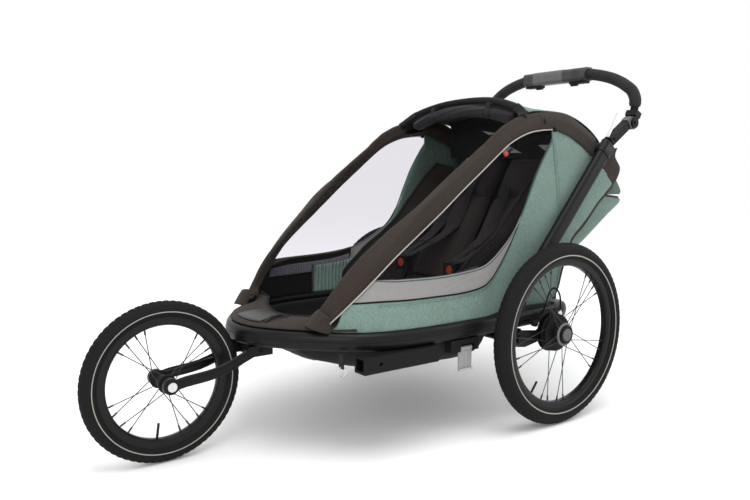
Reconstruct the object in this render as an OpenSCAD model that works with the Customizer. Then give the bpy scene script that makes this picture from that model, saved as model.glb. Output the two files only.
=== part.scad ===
// Two-seat child bicycle trailer with a jogger wheel, seen standing on its three wheels.
// X runs forward, Y to the rider's left, Z up. The origin lies on the ground, midway along the
// overall length. Most places below are measured from the rear axle, and on_frame() moves them there.

/* [Wheels] */
// Radius of a rear tyre
rear_r = 247; // [240:1:254]
// Radius of the jogger wheel's tyre
front_r = 192; // [186:1:196]
// Distance between the middles of the rear tyres
track = 744; // [742:1:752]
// Distance from the rear axle to the jogger axle
wheelbase = 966; // [955:1:975]
// Spokes on one side of a rear wheel
rear_spokes = 10; // [8:2:14]
// Spokes on one side of the jogger wheel
front_spokes = 8; // [6:2:12]

/* [Frame] */
// Diameter of the hoop tubes
hoop_d = 22; // [18:1:24]
// Width of the oval rear posts, seen from the side
post_w = 46; // [40:1:50]
// Thickness of the rear posts, across the trailer
post_t = 26; // [20:1:28]
// Diameter of the handle tube
handle_d = 24; // [20:1:26]
// Diameter of the foam grip on the handle
grip_d = 35; // [32:1:38]

/* [Hidden] */
$fn = 48;

// Places, from the rear axle
axle_to_origin = 337; // the ground point under the rear axle lies this far behind the origin
half_track = track / 2;
ring_top = 305;
ring_low = 262;
// Half of the bumper ring's outline, from its nose to its tail
ring_half = [
  [786, 0], [778, 55], [758, 100], [728, 146], [690, 190], [640, 240], [580, 284], [500, 308],
  [380, 317], [200, 316], [60, 308], [-60, 298], [-130, 282], [-162, 240], [-172, 150], [-174, 0]
];
// The hoop's middle line on one side: from its front pivot up and back to the roof joint
hoop_pivot = [655, 172, 322];
hoop_points = [
  [651, 172, 326.5], [636, 176, 343], [618, 202, 360], [568, 229, 413], [507, 245, 478], [438, 255, 542],
  [365, 263, 608], [275, 267, 671], [179, 268, 737], [80, 268, 791], [26, 268, 808]
];
// The part of it that the sleeve covers
sleeve_points = [
  [622, 198, 357], [568, 229, 413], [507, 245, 478], [438, 255, 542],
  [365, 263, 608], [275, 267, 671], [179, 268, 737], [76, 268, 792.5]
];
roof_joint = [-20, 268, 818];
rear_link_points = [[-20, 268, 818], [-75, 268, 823], [-149, 270, 804], [-205, 271, 779], [-236, 271, 762]];
rear_sleeve_points = [[-46, 268, 822], [-80, 268, 823], [-149, 270, 804], [-200, 271, 781], [-217, 271, 773]];
post_head = [-265, 300, 750];
link_pin = [post_head[0] + 8, post_head[2]];
pin_gap = 0.05; // running fit of a pin in its bore
post_foot = [98, 300, 332];
post_lean = atan2(post_foot[0] - post_head[0], post_head[2] - post_foot[2]);
post_len = norm(post_head - post_foot);
elbow = [-378, 300, 826];
handle_x = -397;
// The handle's middle line, as half its width and its height
handle_half = [[298, 864], [302, 892], [294, 915], [272, 937], [218, 966], [131, 988], [60, 990], [0, 990]];
arm_pivot = [118, 240];
arm_y = 326; // middle of a swing arm, across the trailer
arm_pin_r = 7;

// ---------------------------------------------------------------- shapes that repeat

function unit(v) = v / norm(v);
function mix(a, b, t) = a + (b - a) * t;
function spline_point(p, i, t) =
  let (last = len(p) - 1, a = p[max(i - 1, 0)], b = p[i], c = p[min(i + 1, last)], d = p[min(i + 2, last)])
  0.5 * (2 * b + (c - a) * t + (2 * a - 5 * b + 4 * c - d) * t * t + (3 * b - a - 3 * c + d) * t * t * t);
// A smooth line through points, with a number of steps between each two
function smooth(p, steps = 3) = [
  for (i = [0 : len(p) - 2], k = [0 : steps - 1]) spline_point(p, i, k / steps),
  p[len(p) - 1]
];
function flip_y(p) = [for (v = p) [v[0], -v[1], v[2]]];
function reversed(p) = [for (i = [len(p) - 1 : -1 : 0]) p[i]];
// The height or half width at x along a line of points whose x only falls
function along(p, x, axis, i = 0) =
  i >= len(p) - 2 || x >= p[i + 1][0]
    ? mix(p[i][axis], p[i + 1][axis], (p[i][0] - x) / (p[i][0] - p[i + 1][0]))
    : along(p, x, axis, i + 1);

// A closed solid through a list of rings, each a list of the same number of points. An open shell's ring runs
// along the outside and back along the inside, and its end caps are strips between the two.
module loft(rings, closed = false, shell = false) {
  sides = len(rings[0]);
  count = len(rings);
  joined = closed ? count : count - 1;
  walls = [
    for (i = [0 : joined - 1], k = [0 : sides - 1])
      let (a = i * sides, b = ((i + 1) % count) * sides, n = (k + 1) % sides)
      each [[a + k, b + k, b + n], [a + k, b + n, a + n]]
  ];
  last = (count - 1) * sides;
  caps = closed ? [] : shell ? [
    for (k = [0 : sides / 2 - 2])
      let (m = sides - 1 - k)
      each [[k, k + 1, m - 1, m], [last + m, last + m - 1, last + k + 1, last + k]]
  ] : [
    [for (k = [0 : sides - 1]) k],
    [for (k = [sides - 1 : -1 : 0]) last + k]
  ];
  polyhedron(points = [for (r = rings) each r], faces = concat(walls, caps));
}

function tangent(p, i) = unit(p[min(i + 1, len(p) - 1)] - p[max(i - 1, 0)]);
function oval_ring(centre, a, b, w, h, sides) =
  [for (k = [0 : sides - 1]) centre + a * w / 2 * cos(360 * k / sides) + b * h / 2 * sin(360 * k / sides)];
// An oval bar along a path: w across it toward side, h square to that
module sweep(path, w, h, side = [0, 1, 0], sides = 16) {
  loft([
    for (i = [0 : len(path) - 1])
      let (t = tangent(path, i), a = unit(side - (side * t) * t), b = cross(t, a))
      oval_ring(path[i], a, b, w, h, sides)
  ]);
}

module on_frame() { translate([-axle_to_origin, 0, 0]) children(); }
module both_sides() {
  children();
  mirror([0, 1, 0]) children();
}
// A cylinder along Y from y0 to y1
module rod_y(x, z, y0, y1, r) { translate([x, y0, z]) rotate([-90, 0, 0]) cylinder(r = r, h = y1 - y0); }
// Turns a shape of radius and width, drawn as [radius, y], about the Y axis
module spin_y(x, z) { translate([x, 0, z]) rotate([-90, 0, 0]) rotate_extrude($fn = 96) children(); }
module box(low, high) { translate(low) cube(high - low); }
// A block along a post or its extension: s along it from the foot, w square to it, and y
module on_post() { translate(post_foot) rotate([0, -post_lean, 0]) children(); }

// ---------------------------------------------------------------- wheels

module tyre_shape(r, fat, seat_r) {
  difference() {
    translate([r - fat, 0]) circle(fat, $fn = 64);
    translate([r - fat, 0]) circle(fat - 4, $fn = 64);
    translate([0, -fat]) square([seat_r, 2 * fat]);
  }
}
module rim_shape(seat_r, half) {
  polygon([
    [seat_r - 16, -half + 5], [seat_r - 10, -half], [seat_r + 5, -half], [seat_r + 5, -half + 2],
    [seat_r - 4, -half + 3], [seat_r - 8, 0],
    [seat_r - 4, half - 3], [seat_r + 5, half - 2], [seat_r + 5, half], [seat_r - 10, half],
    [seat_r - 16, half - 5]
  ]);
}
module tyre(x, y, z, r, fat, seat_r) {
  translate([0, y, 0]) spin_y(x, z) tyre_shape(r, fat, seat_r + 5.3);
}
module rim(x, y, z, seat_r, half, valve) {
  translate([0, y, 0]) {
    spin_y(x, z) rim_shape(seat_r, half);
    translate([x, 0, z]) rotate([0, valve, 0]) translate([0, 0, seat_r - 52])
      cylinder(r = 3, h = 35.6, $fn = 16);
  }
}
// Crossed spokes: from a flange of radius hub_r at y = ends[s] to the rim, count to a side
module spokes(x, y, z, hub_r, ends, rim_r, count) {
  step = 360 / count;
  for (s = [0, 1], i = [0 : count - 1]) {
    side = s == 0 ? -1 : 1;
    turn = i * step + s * step / 2;
    swing = (i % 2 == 0 ? 1 : -1) * step * 0.62;
    from = [hub_r[s] * sin(turn), ends[s], hub_r[s] * cos(turn)];
    to = [rim_r * sin(turn + swing), side * 3, rim_r * cos(turn + swing)];
    across = to - from;
    translate([x, y, z] + from)
      rotate([0, acos(across[2] / norm(across)), atan2(across[1], across[0])]) {
        cylinder(r = 1.1, h = norm(across) - 14, $fn = 12);
        translate([0, 0, norm(across) - 14]) cylinder(r = 2.2, h = 14, $fn = 12);
      }
  }
}

rear_seat_r = 201;
front_seat_r = 151;
module side_tyre() { tyre(0, half_track, rear_r, rear_r, 23, rear_seat_r); }
module side_rim() { rim(0, half_track, rear_r, rear_seat_r, 13, 142); }
module side_spokes() {
  spokes(0, half_track, rear_r, [50.6, 31.6], [-13, 13], rear_seat_r - 16.6, rear_spokes);
}
// Drum toward the trailer, narrow shell, outer flange and the cup that holds the button
module side_hub() {
  difference() {
    spin_y(0, rear_r) polygon([
      [6.3, 344], [52, 344], [52, 350], [50, 352], [50, 361], [46, 363], [24, 368], [19, 374], [19, 382],
      [31, 383], [31, 387], [24, 388], [24, 394], [17.3, 394], [17.3, 385], [6.3, 385]
    ]);
    rod_y(0, rear_r, 343.6, 348, 46);
  }
}
module side_release_button() {
  spin_y(0, rear_r) polygon([[0, 389.5], [17, 389.5], [17, 394.5], [15, 396], [0, 396]]);
}
module side_swing_arm() {
  z = arm_pivot[1];
  difference() {
    union() {
      translate([0, arm_y + 8, 0]) rotate([90, 0, 0]) linear_extrude(16) polygon([
        [arm_pivot[0] + 8, z - 20], [arm_pivot[0] + 20, z - 6], [arm_pivot[0] + 18, z + 14],
        [arm_pivot[0], z + 22],
        [40, z + 12], [16, z + 24], [-10, z + 25], [-22, z + 10], [-20, z - 10], [-4, z - 19],
        [40, z - 14], [arm_pivot[0] - 20, z - 24]
      ]);
      rod_y(0, rear_r, arm_y, 384.5, 6);
    }
    rod_y(arm_pivot[0], z, arm_y - 9, arm_y + 9, arm_pin_r + pin_gap);
  }
}
// Rubber stop on a pin beside the ring, which the swing arm comes up against
module side_elastomer() {
  rod_y(54, 274, 320, 332, 9);
  rod_y(54, 274, 309.2, 334, 4.4);
}
module side_brake_plate() {
  difference() {
    union() {
      rod_y(0, rear_r, 334.4, 337.4, 54);
      spin_y(0, rear_r) polygon([[39, 337.4], [43, 337.4], [43, 343.2], [39, 343.2]]);
    }
    rod_y(0, rear_r, 334, 344, 6.2);
    rod_y(-34, rear_r + 20, 334, 344, 4.05);
  }
}
module side_brake_lever() {
  rod_y(-34, rear_r + 20, 327, 337.6, 4);
  difference() {
    translate([0, 332.4, 0]) rotate([90, 0, 0]) linear_extrude(3.6)
      polygon([[-41, 260], [-27, 260], [-29, 272], [-37, 296], [-47, 300], [-52, 292], [-46, 280]]);
    rod_y(-34, rear_r + 20, 327, 334, 4);
  }
}
module side_brake_cable() {
  path = smooth([
    [12, 309.6, 292], [8, 316, 300], [2, 321, 325], [-6, 323, 350], [-20, 325, 363], [-36, 327, 356],
    [-46, 329, 335], [-47, 329.5, 301.5]
  ]);
  sweep(path, 5, 5, sides = 10);
}

module left_tyre() { color("#1b1b1c") on_frame() side_tyre(); }
module left_rim() { color("#1d1d1f") on_frame() side_rim(); }
module left_spokes() { color("#2a2a2c") on_frame() side_spokes(); }
module left_hub() { color("#222224") on_frame() side_hub(); }
module left_release_button() { color("#8a8a8c") on_frame() side_release_button(); }
module left_swing_arm() { color("#18181a") on_frame() side_swing_arm(); }
module elastomers() { color("#303032") on_frame() both_sides() side_elastomer(); }
module brake_cables() { color("#121213") on_frame() both_sides() side_brake_cable(); }
module left_brake_plate() { color("#3a3a3c") on_frame() side_brake_plate(); }
module left_brake_lever() { color("#b0b0b2") on_frame() side_brake_lever(); }
module right_tyre() { color("#1b1b1c") on_frame() mirror([0, 1, 0]) side_tyre(); }
module right_rim() { color("#1d1d1f") on_frame() mirror([0, 1, 0]) side_rim(); }
module right_spokes() { color("#2a2a2c") on_frame() mirror([0, 1, 0]) side_spokes(); }
module right_hub() { color("#222224") on_frame() mirror([0, 1, 0]) side_hub(); }
module right_release_button() { color("#8a8a8c") on_frame() mirror([0, 1, 0]) side_release_button(); }
module right_swing_arm() { color("#18181a") on_frame() mirror([0, 1, 0]) side_swing_arm(); }
module right_brake_plate() { color("#3a3a3c") on_frame() mirror([0, 1, 0]) side_brake_plate(); }
module right_brake_lever() { color("#b0b0b2") on_frame() mirror([0, 1, 0]) side_brake_lever(); }

module jogger_tyre() { color("#1b1b1c") on_frame() tyre(wheelbase, 0, front_r, front_r, 20, front_seat_r); }
module jogger_rim() { color("#1d1d1f") on_frame() rim(wheelbase, 0, front_r, front_seat_r, 12, 172); }
module jogger_spokes() {
  color("#2a2a2c") on_frame()
    spokes(wheelbase, 0, front_r, [22.6, 22.6], [-26, 26], front_seat_r - 16.6, front_spokes);
}
module jogger_hub() {
  color("#1e1e20") on_frame() spin_y(wheelbase, front_r) polygon([
    [6.2, -38], [12, -38], [13, -30], [22, -28], [22, -24], [15, -20], [15, 20], [22, 24], [22, 28],
    [13, 30], [12, 38], [6.2, 38]
  ]);
}

// ---------------------------------------------------------------- jogger fork

fork_bore_r = 6.1;
fork_leg = [
  [950, 48, 193], [930, 48, 197], [895, 48, 200], [855, 48, 205], [815, 48, 217], [785, 48, 230],
  [760, 48, 240]
];
module jogger_fork() {
  color("#1a1a1c") on_frame() difference() {
    both_sides() {
      sweep(smooth(fork_leg, 2), 12, 27, sides = 12);
      rod_y(wheelbase, front_r, 41.6, 54.2, 19);
      box([706, 41.5, 230], [772, 54.3, 256]);
    }
    rod_y(wheelbase, front_r, -60, 60, fork_bore_r);
    rod_y(736, 243, 50, 60, 6);
    rod_y(736, 243, -60, -50, 6);
  }
}
module fork_bridge() {
  color("#161618") on_frame() {
    difference() {
      box([698, -41, 226], [764, 41, 258]);
      box([752, -30, 220], [770, 30, 262]);
      rod_y(718, 242, -45, 45, 6.05);
    }
    both_sides() rod_y(736, 243, 50.4, 56.5, 5.4);
  }
}
module jogger_axle() {
  color("#9a9a9c") on_frame() {
    rod_y(wheelbase, front_r, -60, 60, 6);
    both_sides() difference() {
      rod_y(wheelbase, front_r, 54.5, 60, 11);
      rod_y(wheelbase, front_r, 54, 61, 6);
    }
  }
}

// ---------------------------------------------------------------- base

ring_line = smooth(concat(ring_half, reversed([for (q = ring_half) [q[0], -q[1]]])), 2);
ring_count = len(ring_line) - 1;
// The ring's outline again, moved inward by a distance
function ring_normal(i) =
  let (next = ring_line[(i + 1) % ring_count], t = unit(next - ring_line[(i - 1 + ring_count) % ring_count]))
  [-t[1], t[0]];
function ring_inward(d) = [
  for (i = [0 : ring_count - 1]) if (norm(ring_line[i] - ring_line[(i + 1) % ring_count]) > 1)
    ring_line[i] + ring_normal(i) * d
];
ring_section = [
  [10, ring_low], [2, ring_low + 6], [0, ring_low + 16], [0, ring_low + 28], [3, ring_top - 4],
  [10, ring_top], [44, ring_top + 3], [54, ring_top], [56, ring_top - 8], [50, ring_top - 16],
  [50, ring_low + 10], [42, ring_low]
];
module base_ring() {
  lines = [for (s = ring_section) ring_inward(s[0])];
  color("#151517") on_frame()
    loft([
      for (i = [0 : len(lines[0]) - 1])
        [for (k = [len(ring_section) - 1 : -1 : 0]) [lines[k][i][0], lines[k][i][1], ring_section[k][1]]]
    ], closed = true);
}

// The tub that the feet rest in: half its width and the height of its floor, from front to rear
tub_top = ring_top - 12;
tub_wall = 4;
tub_line = [
  [720, 24, 278], [708, 62, 268], [686, 100, 260], [650, 142, 228], [598, 192, 213], [555, 224, 204],
  [489, 246, 196], [378, 254, 188], [300, 255, 184], [230, 255, 185], [175, 255, 198], [142, 253, 257],
  [62, 246, 260], [-52, 237, 262], [-100, 221, 268], [-108, 206, 278]
];
function tub_ring(p) =
  let (deep = tub_top - p[2], half = [
    [p[1], tub_top], [p[1] - 2, tub_top - 0.4 * deep], [p[1] * 0.93, tub_top - 0.85 * deep],
    [p[1] * 0.78, p[2]], [0, p[2] - 2]
  ], inner = [for (q = half) [max(q[0] - tub_wall, 0), q[1] + (q[1] < tub_top ? tub_wall : 0)]])
  concat(
    [for (q = half) [p[0], q[0], q[1]]], [for (i = [3 : -1 : 0]) [p[0], -half[i][0], half[i][1]]],
    [for (i = [0 : 3]) [p[0], -inner[i][0], inner[i][1]]], [for (q = reversed(inner)) [p[0], q[0], q[1]]]
  );
module floor_tub() { color("#202022") on_frame() loft([for (p = tub_line) tub_ring(p)], shell = true); }

module axle_beam() {
  x = arm_pivot[0];
  z = arm_pivot[1];
  color("#18181a") on_frame() difference() {
    union() {
      rod_y(x, z - 4, -298, 298, 13);
      both_sides() {
        box([x - 26, 297, z - 22], [x + 26, 313, ring_low - 0.4]);
        rod_y(x, z, 310, 336, arm_pin_r);
        rod_y(x, z, 334.6, 338, 11);
      }
    }
    rod_y(x, z - 4, -296, 296, 10.5);
  }
}

pivot_plate = 5;
// Fork of two plates with a pin, standing on the ring, for a leg of width 2 * half at y
module pivot_fork(x, y, z, half, r, pin_r) {
  base = ring_top + 3.4;
  for (side = [-1, 1]) {
    inner = y + side * (half + 0.5);
    outer = inner + side * pivot_plate;
    rod_y(x, z, min(inner, outer), max(inner, outer), r);
    box([x - r, min(inner, outer), base], [x + r, max(inner, outer), z]);
  }
  rod_y(x, z, y - half - 8, y + half + 8, pin_r);
  box([x - r, y - half - 0.5 - pivot_plate, base], [x + r, y + half + 0.5 + pivot_plate, base + 3]);
}
hoop_pin_r = 5;
post_pin_r = 6;
module pivot_brackets() {
  color("#1a1a1c") on_frame() both_sides() {
    pivot_fork(hoop_pivot[0], hoop_pivot[1], hoop_pivot[2], 11, 12, hoop_pin_r);
    pivot_fork(post_foot[0], post_foot[1], post_foot[2], post_t / 2, 18, post_pin_r);
  }
}
module seat_board() {
  color("#202022") on_frame() difference() {
    box([40, -240, tub_top + 0.6], [318, 240, tub_top + 6]);
    both_sides() box([184, 96, tub_top], [226, 124, tub_top + 7]);
  }
}

// ---------------------------------------------------------------- tow bar side

receiver = [[396, 284, 222], [618, 325, ring_low - 0.4]];
socket_low = [500, 291, 228];
socket_size = 28;
tow_pin = [572, 242];
tow_pin_r = 4;
module tow_receiver() {
  low = receiver[0];
  high = receiver[1];
  color("#1a1a1c") on_frame() difference() {
    box(low, high);
    box(socket_low, [high[0] + 1, socket_low[1] + socket_size, socket_low[2] + socket_size]);
    // Hollow behind the socket, open below
    box([low[0] + 8, low[1] + 6, low[2] - 1], [socket_low[0] - 8, high[1] - 6, high[2] - 6]);
    rod_y(tow_pin[0], tow_pin[1], low[1] - 1, high[1] + 1, tow_pin_r);
    // Slanted mouth that guides the bar in
    translate([high[0] - 14, low[1] - 1, low[2] - 10]) rotate([0, 30, 0]) box([0, 0, -20], [40, 60, 12]);
  }
}
lever_pin = [303, 236];
module lever_bracket() {
  color("#1a1a1c") on_frame() {
    difference() {
      box([250, 288, 230], [345, 314, ring_low - 0.4]);
      box([266, 294, 229], [312, 315, 248]);
    }
    translate([258, lever_pin[0], lever_pin[1]]) rotate([0, 90, 0]) cylinder(r = 2.5, h = 62);
  }
}
// Grey pull lever on a pin that runs fore and aft
module lock_lever() {
  color("#8c8c8e") on_frame() difference() {
    union() {
      translate([267, lever_pin[0], lever_pin[1]]) rotate([0, 90, 0]) cylinder(r = 5, h = 44);
      box([267, 300.4, 182], [311, 305.6, lever_pin[1]]);
      box([267, 300.4, 178], [311, 310, 184]);
      box([287, 305, 182], [291, 308, lever_pin[1] - 8]);
    }
    translate([260, lever_pin[0], lever_pin[1]]) rotate([0, 90, 0]) cylinder(r = 2.55, h = 60);
  }
}
strap_hole = [640, 262, 232];
module ring_strap() {
  color("#151517") on_frame() difference() {
    box([638.5, 252, 226], [641.5, 272, ring_low - 0.4]);
    translate([630, strap_hole[1], strap_hole[2]]) rotate([0, 90, 0]) cylinder(r = 1.8, h = 20);
  }
}
d_ring_r = 12;
module d_ring() {
  color("#303032") on_frame() translate([strap_hole[0], strap_hole[1], strap_hole[2] - d_ring_r])
    rotate([90, 0, 0]) rotate_extrude($fn = 48) translate([d_ring_r, 0]) circle(1.6, $fn = 24);
}

// ---------------------------------------------------------------- parking brake

brake_axis = [-150, 236];
module brake_pedal() {
  x = brake_axis[0];
  z = brake_axis[1];
  color("#7a2a26") on_frame() {
    rod_y(x, z, -70, 70, 6);
    translate([x, 0, z]) rotate([0, 20, 0]) {
      box([-74, -45, -4], [-4, 45, 4]);
      box([-78, -45, -4], [-62, 45, 9]);
    }
  }
}

// ---------------------------------------------------------------- seat

cushion_z = tub_top + 6.6;
module rounded_slab(low, high, r) {
  hull() for (x = [low[0] + r, high[0] - r], y = [low[1] + r, high[1] - r])
    translate([x, y, low[2]]) cylinder(r = r, h = high[2] - low[2], $fn = 32);
}
module seat_cushions() {
  color("#3a3330") on_frame() both_sides() difference() {
    rounded_slab([56, 4, cushion_z], [316, 222, cushion_z + 44], 30);
    box([176, 97, cushion_z - 1], [222, 123, cushion_z + 50]);
  }
}
back_foot = [52, 350];
back_head = [-168, 725];
module seat_back() {
  lean = atan2(back_foot[0] - back_head[0], back_head[1] - back_foot[1]);
  tall = norm(back_head - back_foot);
  color("#3a3330") on_frame() translate([back_foot[0], 0, back_foot[1]]) rotate([0, -lean, 0]) {
    box([-34, -222, 0], [0, 222, tall]);
    both_sides() for (y = [66, 138]) box([0.4, y, 170], [5, y + 28, tall - 60]);
  }
}
buckle = [160, 110, 402];
module buckles() {
  color("#232323") on_frame() both_sides() difference() {
    union() {
      box([buckle[0] - 14, buckle[1] - 26, buckle[2] - 24], [buckle[0] + 10, buckle[1] + 26, buckle[2] + 22]);
      translate([206, buckle[1], 301]) rotate([0, -24, 0]) box([-2, -12, 0], [2, 12, 90]);
    }
    translate([buckle[0], buckle[1], buckle[2] + 2]) rotate([0, 90, 0]) cylinder(r = 12.3, h = 20);
  }
}
module side_buckle_button() {
  translate([buckle[0] + 4.4, buckle[1], buckle[2] + 2]) rotate([0, 90, 0]) cylinder(r = 12, h = 8);
}
module left_buckle_button() { color("#c83c28") on_frame() side_buckle_button(); }
module right_buckle_button() { color("#c83c28") on_frame() mirror([0, 1, 0]) side_buckle_button(); }

// ---------------------------------------------------------------- hoop, posts and handle

hoop_bore = hoop_d / 2 + 0.5;
joint_plate_y = [250, 256];
module hoop_front() {
  knuckle = 11;
  color("#202022") on_frame() both_sides() difference() {
    union() {
      sweep(smooth(hoop_points, 2), hoop_d, hoop_d);
      rod_y(hoop_pivot[0], hoop_pivot[2], hoop_pivot[1] - knuckle, hoop_pivot[1] + knuckle, 10);
      // Plate beside the tube that reaches back to the roof joint
      rod_y(34, 806, joint_plate_y[0] + 1, 268, 8);
      rod_y(roof_joint[0], roof_joint[2], joint_plate_y[0], joint_plate_y[1], 10);
      translate([34, joint_plate_y[0], 806]) rotate([0, 180 + atan2(12, 54), 0])
        box([0, 0.4, -7], [norm([54, 12]), joint_plate_y[1] - joint_plate_y[0] - 0.4, 7]);
    }
    rod_y(hoop_pivot[0], hoop_pivot[2], 150, 200, hoop_pin_r + pin_gap);
  }
}
bow_half = [[54, 262, 824], [38, 250, 838], [24, 205, 862], [8, 110, 884], [-3, 0, 891]];
// A whole line across the trailer from the half that ends at its middle
function whole(line) = concat(line, reversed(flip_y([for (i = [0 : len(line) - 2]) line[i]])));
module roof_bow() {
  color("#161618") on_frame() {
    sweep(smooth(whole(bow_half)), 24, 18, side = [1, 0, 0]);
    both_sides() difference() {
      sweep([[67, 268, 796], [50, 268, 801.5]], 36, 36);
      sweep(smooth(hoop_points, 2), 2 * hoop_bore + 3.5, 2 * hoop_bore + 3.5);
    }
  }
}
sleeve_w = 34;
sleeve_h = 52;
module hoop_sleeves() {
  color("#3c322e") on_frame() both_sides() difference() {
    sweep(smooth(sleeve_points, 2), sleeve_w, sleeve_h);
    sweep(smooth(hoop_points, 2), 2 * hoop_bore + 1, 2 * hoop_bore + 1, sides = 12);
  }
}
module rear_sleeves() {
  color("#3c322e") on_frame() both_sides() difference() {
    sweep(smooth(rear_sleeve_points, 2), sleeve_w - 4, sleeve_h);
    sweep(smooth(rear_link_points, 2), 2 * hoop_bore + 1, 2 * hoop_bore + 1, sides = 12);
  }
}
module rolled_cover() {
  roll = [for (i = [-4 : 4]) let (y = i * 52) [30, y, 858 - y * y / 1300]];
  color("#3a3038") on_frame() sweep(roll, 34, 34, side = [1, 0, 0], sides = 12);
}
link_pin_r = 4;
module hoop_rear() {
  color("#202022") on_frame() both_sides() difference() {
    union() {
      sweep(smooth(rear_link_points, 2), hoop_d, hoop_d);
      rod_y(roof_joint[0], roof_joint[2], 257, 279, 11);
      rod_y(roof_joint[0], roof_joint[2], 279, 283, 6);
      rod_y(link_pin[0], link_pin[1], 260, 283, 14);
    }
    rod_y(link_pin[0], link_pin[1], 250, 300, link_pin_r + pin_gap);
  }
}

module oval_column(w, t, low, high) {
  translate([0, 0, low]) linear_extrude(high - low) {
    for (side = [-1, 1]) translate([side * (w - t) / 2, 0]) circle(d = t);
    square([w - t, t], center = true);
  }
}
head_from = 528;
module posts() {
  color("#131315") on_frame() both_sides() {
    post_cap();
    difference() {
      union() {
        on_post() oval_column(post_w, post_t, 14, post_len);
        rod_y(post_foot[0], post_foot[2], post_foot[1] - post_t / 2, post_foot[1] + post_t / 2, 16);
      }
      rod_y(post_foot[0], post_foot[2], 280, 320, post_pin_r + pin_gap);
    }
  }
}
// Cap over a post's top, with the pin that the hoop's rear tube turns on
module post_cap() {
  difference() {
    on_post() oval_column(post_w + 5, post_t + 3, head_from, post_len + 14);
    on_post() oval_column(post_w + 0.6, post_t + 0.6, head_from - 1, post_len + 0.3);
    rod_y(link_pin[0], link_pin[1], 270, 286.6, link_pin_r + 2);
  }
  rod_y(link_pin[0], link_pin[1], 258, 286.9, link_pin_r);
}
extension_lean = 33.5;
extension_from = [-277, 300, 768];
extension_len = 96;
module along_extension() {
  translate(extension_from) rotate([0, extension_lean, 0]) mirror([1, 0, 0]) children();
}
module handle_extensions() {
  color("#1a1a1c") on_frame() both_sides() {
    along_extension() box([0, -12, -13], [extension_len, 12, 13]);
    along_extension() translate([14, 12, 0]) rotate([-90, 0, 0]) cylinder(r = 4, h = 4);
  }
}
elbow_bolt_r = 5;
module elbow_collars() {
  color("#707072") on_frame() both_sides() difference() {
    union() {
      rod_y(elbow[0], elbow[2], 288, 312, 19);
      along_extension() box([extension_len + 0.3, -11.4, -16], [extension_len + 20, 11.4, 16]);
    }
    rod_y(elbow[0], elbow[2], 280, 320, elbow_bolt_r + pin_gap);
  }
}
handle_line = [for (p = handle_half) [handle_x, p[0], p[1]]];
foam_end = 129;
handle_lean = -26;
module handle_tube() {
  color("#202022") on_frame() {
    sweep(smooth(whole(handle_line), 2), handle_d, handle_d, side = [1, 0, 0]);
    both_sides() {
      for (side = [-1, 1]) {
        inner = 300 + side * 12.5;
        outer = inner + side * 6;
        rod_y(elbow[0], elbow[2], min(inner, outer), max(inner, outer), 15);
        translate([elbow[0], min(inner, outer), elbow[2]])
          rotate([0, handle_lean, 0]) box([-9, 0.4, 0], [9, 5.6, 34]);
      }
      translate([elbow[0], 281.5, elbow[2]]) rotate([0, handle_lean, 0]) box([-13, 0, 20.5], [13, 37, 38]);
      rod_y(elbow[0], elbow[2], 279, 321, elbow_bolt_r);
    }
  }
}
module grip_foam() {
  foam = concat([for (p = handle_line) if (p[1] > foam_end + 20) p], [[handle_x, foam_end, 987.8]]);
  color("#242426") on_frame() both_sides() difference() {
    sweep(smooth(foam, 2), grip_d, grip_d, side = [1, 0, 0]);
    sweep(smooth(whole(handle_line), 2), handle_d + 1, handle_d + 1, side = [1, 0, 0], sides = 12);
    box([handle_x - 30, 0, console_z - 40], [handle_x + 30, foam_end, console_z + 40]);
    box([handle_x - 30, 270, 840], [handle_x + 40, 330, 870]);
  }
}
console_z = 990;
module handle_console() {
  color("#606062") on_frame() difference() {
    union() {
      hull() for (x = [-10, 10], z = [-10, 8])
        rod_y(handle_x + x, console_z + z, -128, 128, 12, $fn = 32);
      hull() for (x = [-12, 12]) rod_y(handle_x + x, console_z + 12, -86, 38, 9, $fn = 32);
    }
    rod_y(handle_x, console_z, -130, 130, handle_d / 2 + 2.4);
    both_sides() box([handle_x - 14, 60, console_z - 30], [handle_x + 14, 124, console_z - 15]);
  }
}
module side_trigger() {
  box([handle_x - 13, 61, console_z - 29], [handle_x + 13, 123, console_z - 19.5]);
  rod_y(handle_x, console_z - 28, 61, 84, 7);
}
module left_grip_trigger() { color("#1a1a1c") on_frame() side_trigger(); }
module right_grip_trigger() { color("#1a1a1c") on_frame() mirror([0, 1, 0]) side_trigger(); }

// ---------------------------------------------------------------- fabric

// Each station is the panel's point on the ring, its point under the sleeve, and how far up
// between the two the window begins
side_stations = [
  [[640, 214, 309.5], [634, 213, 320], 1],
  [[610, 243, 309.5], [604, 228, 342], 1],
  [[575, 268, 309.5], [548, 242, 382], 0.98],
  [[525, 286, 309.5], [490, 246, 450], 0.78],
  [[470, 296, 309.5], [420, 255, 511], 0.58],
  [[410, 300, 309.5], [345, 262, 575], 0.43],
  [[350, 301, 309.5], [262, 266, 634], 0.36],
  [[300, 300, 309.5], [180, 268, 692], 0.35],
  [[255, 299, 309.5], [108, 268, 732], 0.38],
  [[215, 298, 309.5], [36, 268, 764], 0.45],
  [[185, 291, 309.5], [-28, 268, 779], 0.6],
  [[165, 284, 309.5], [-62, 268, 781], 0.985]
];
rear_stations = [
  [[60, 254, 309.5], [-120, 268, 768]],
  [[-40, 262, 309.5], [-200, 270, 742]],
  [[-100, 260, 312], [-262, 264, 690]],
  [[-112, 258, 330], [-300, 262, 668]]
];
panel_t = 2.6;
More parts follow.
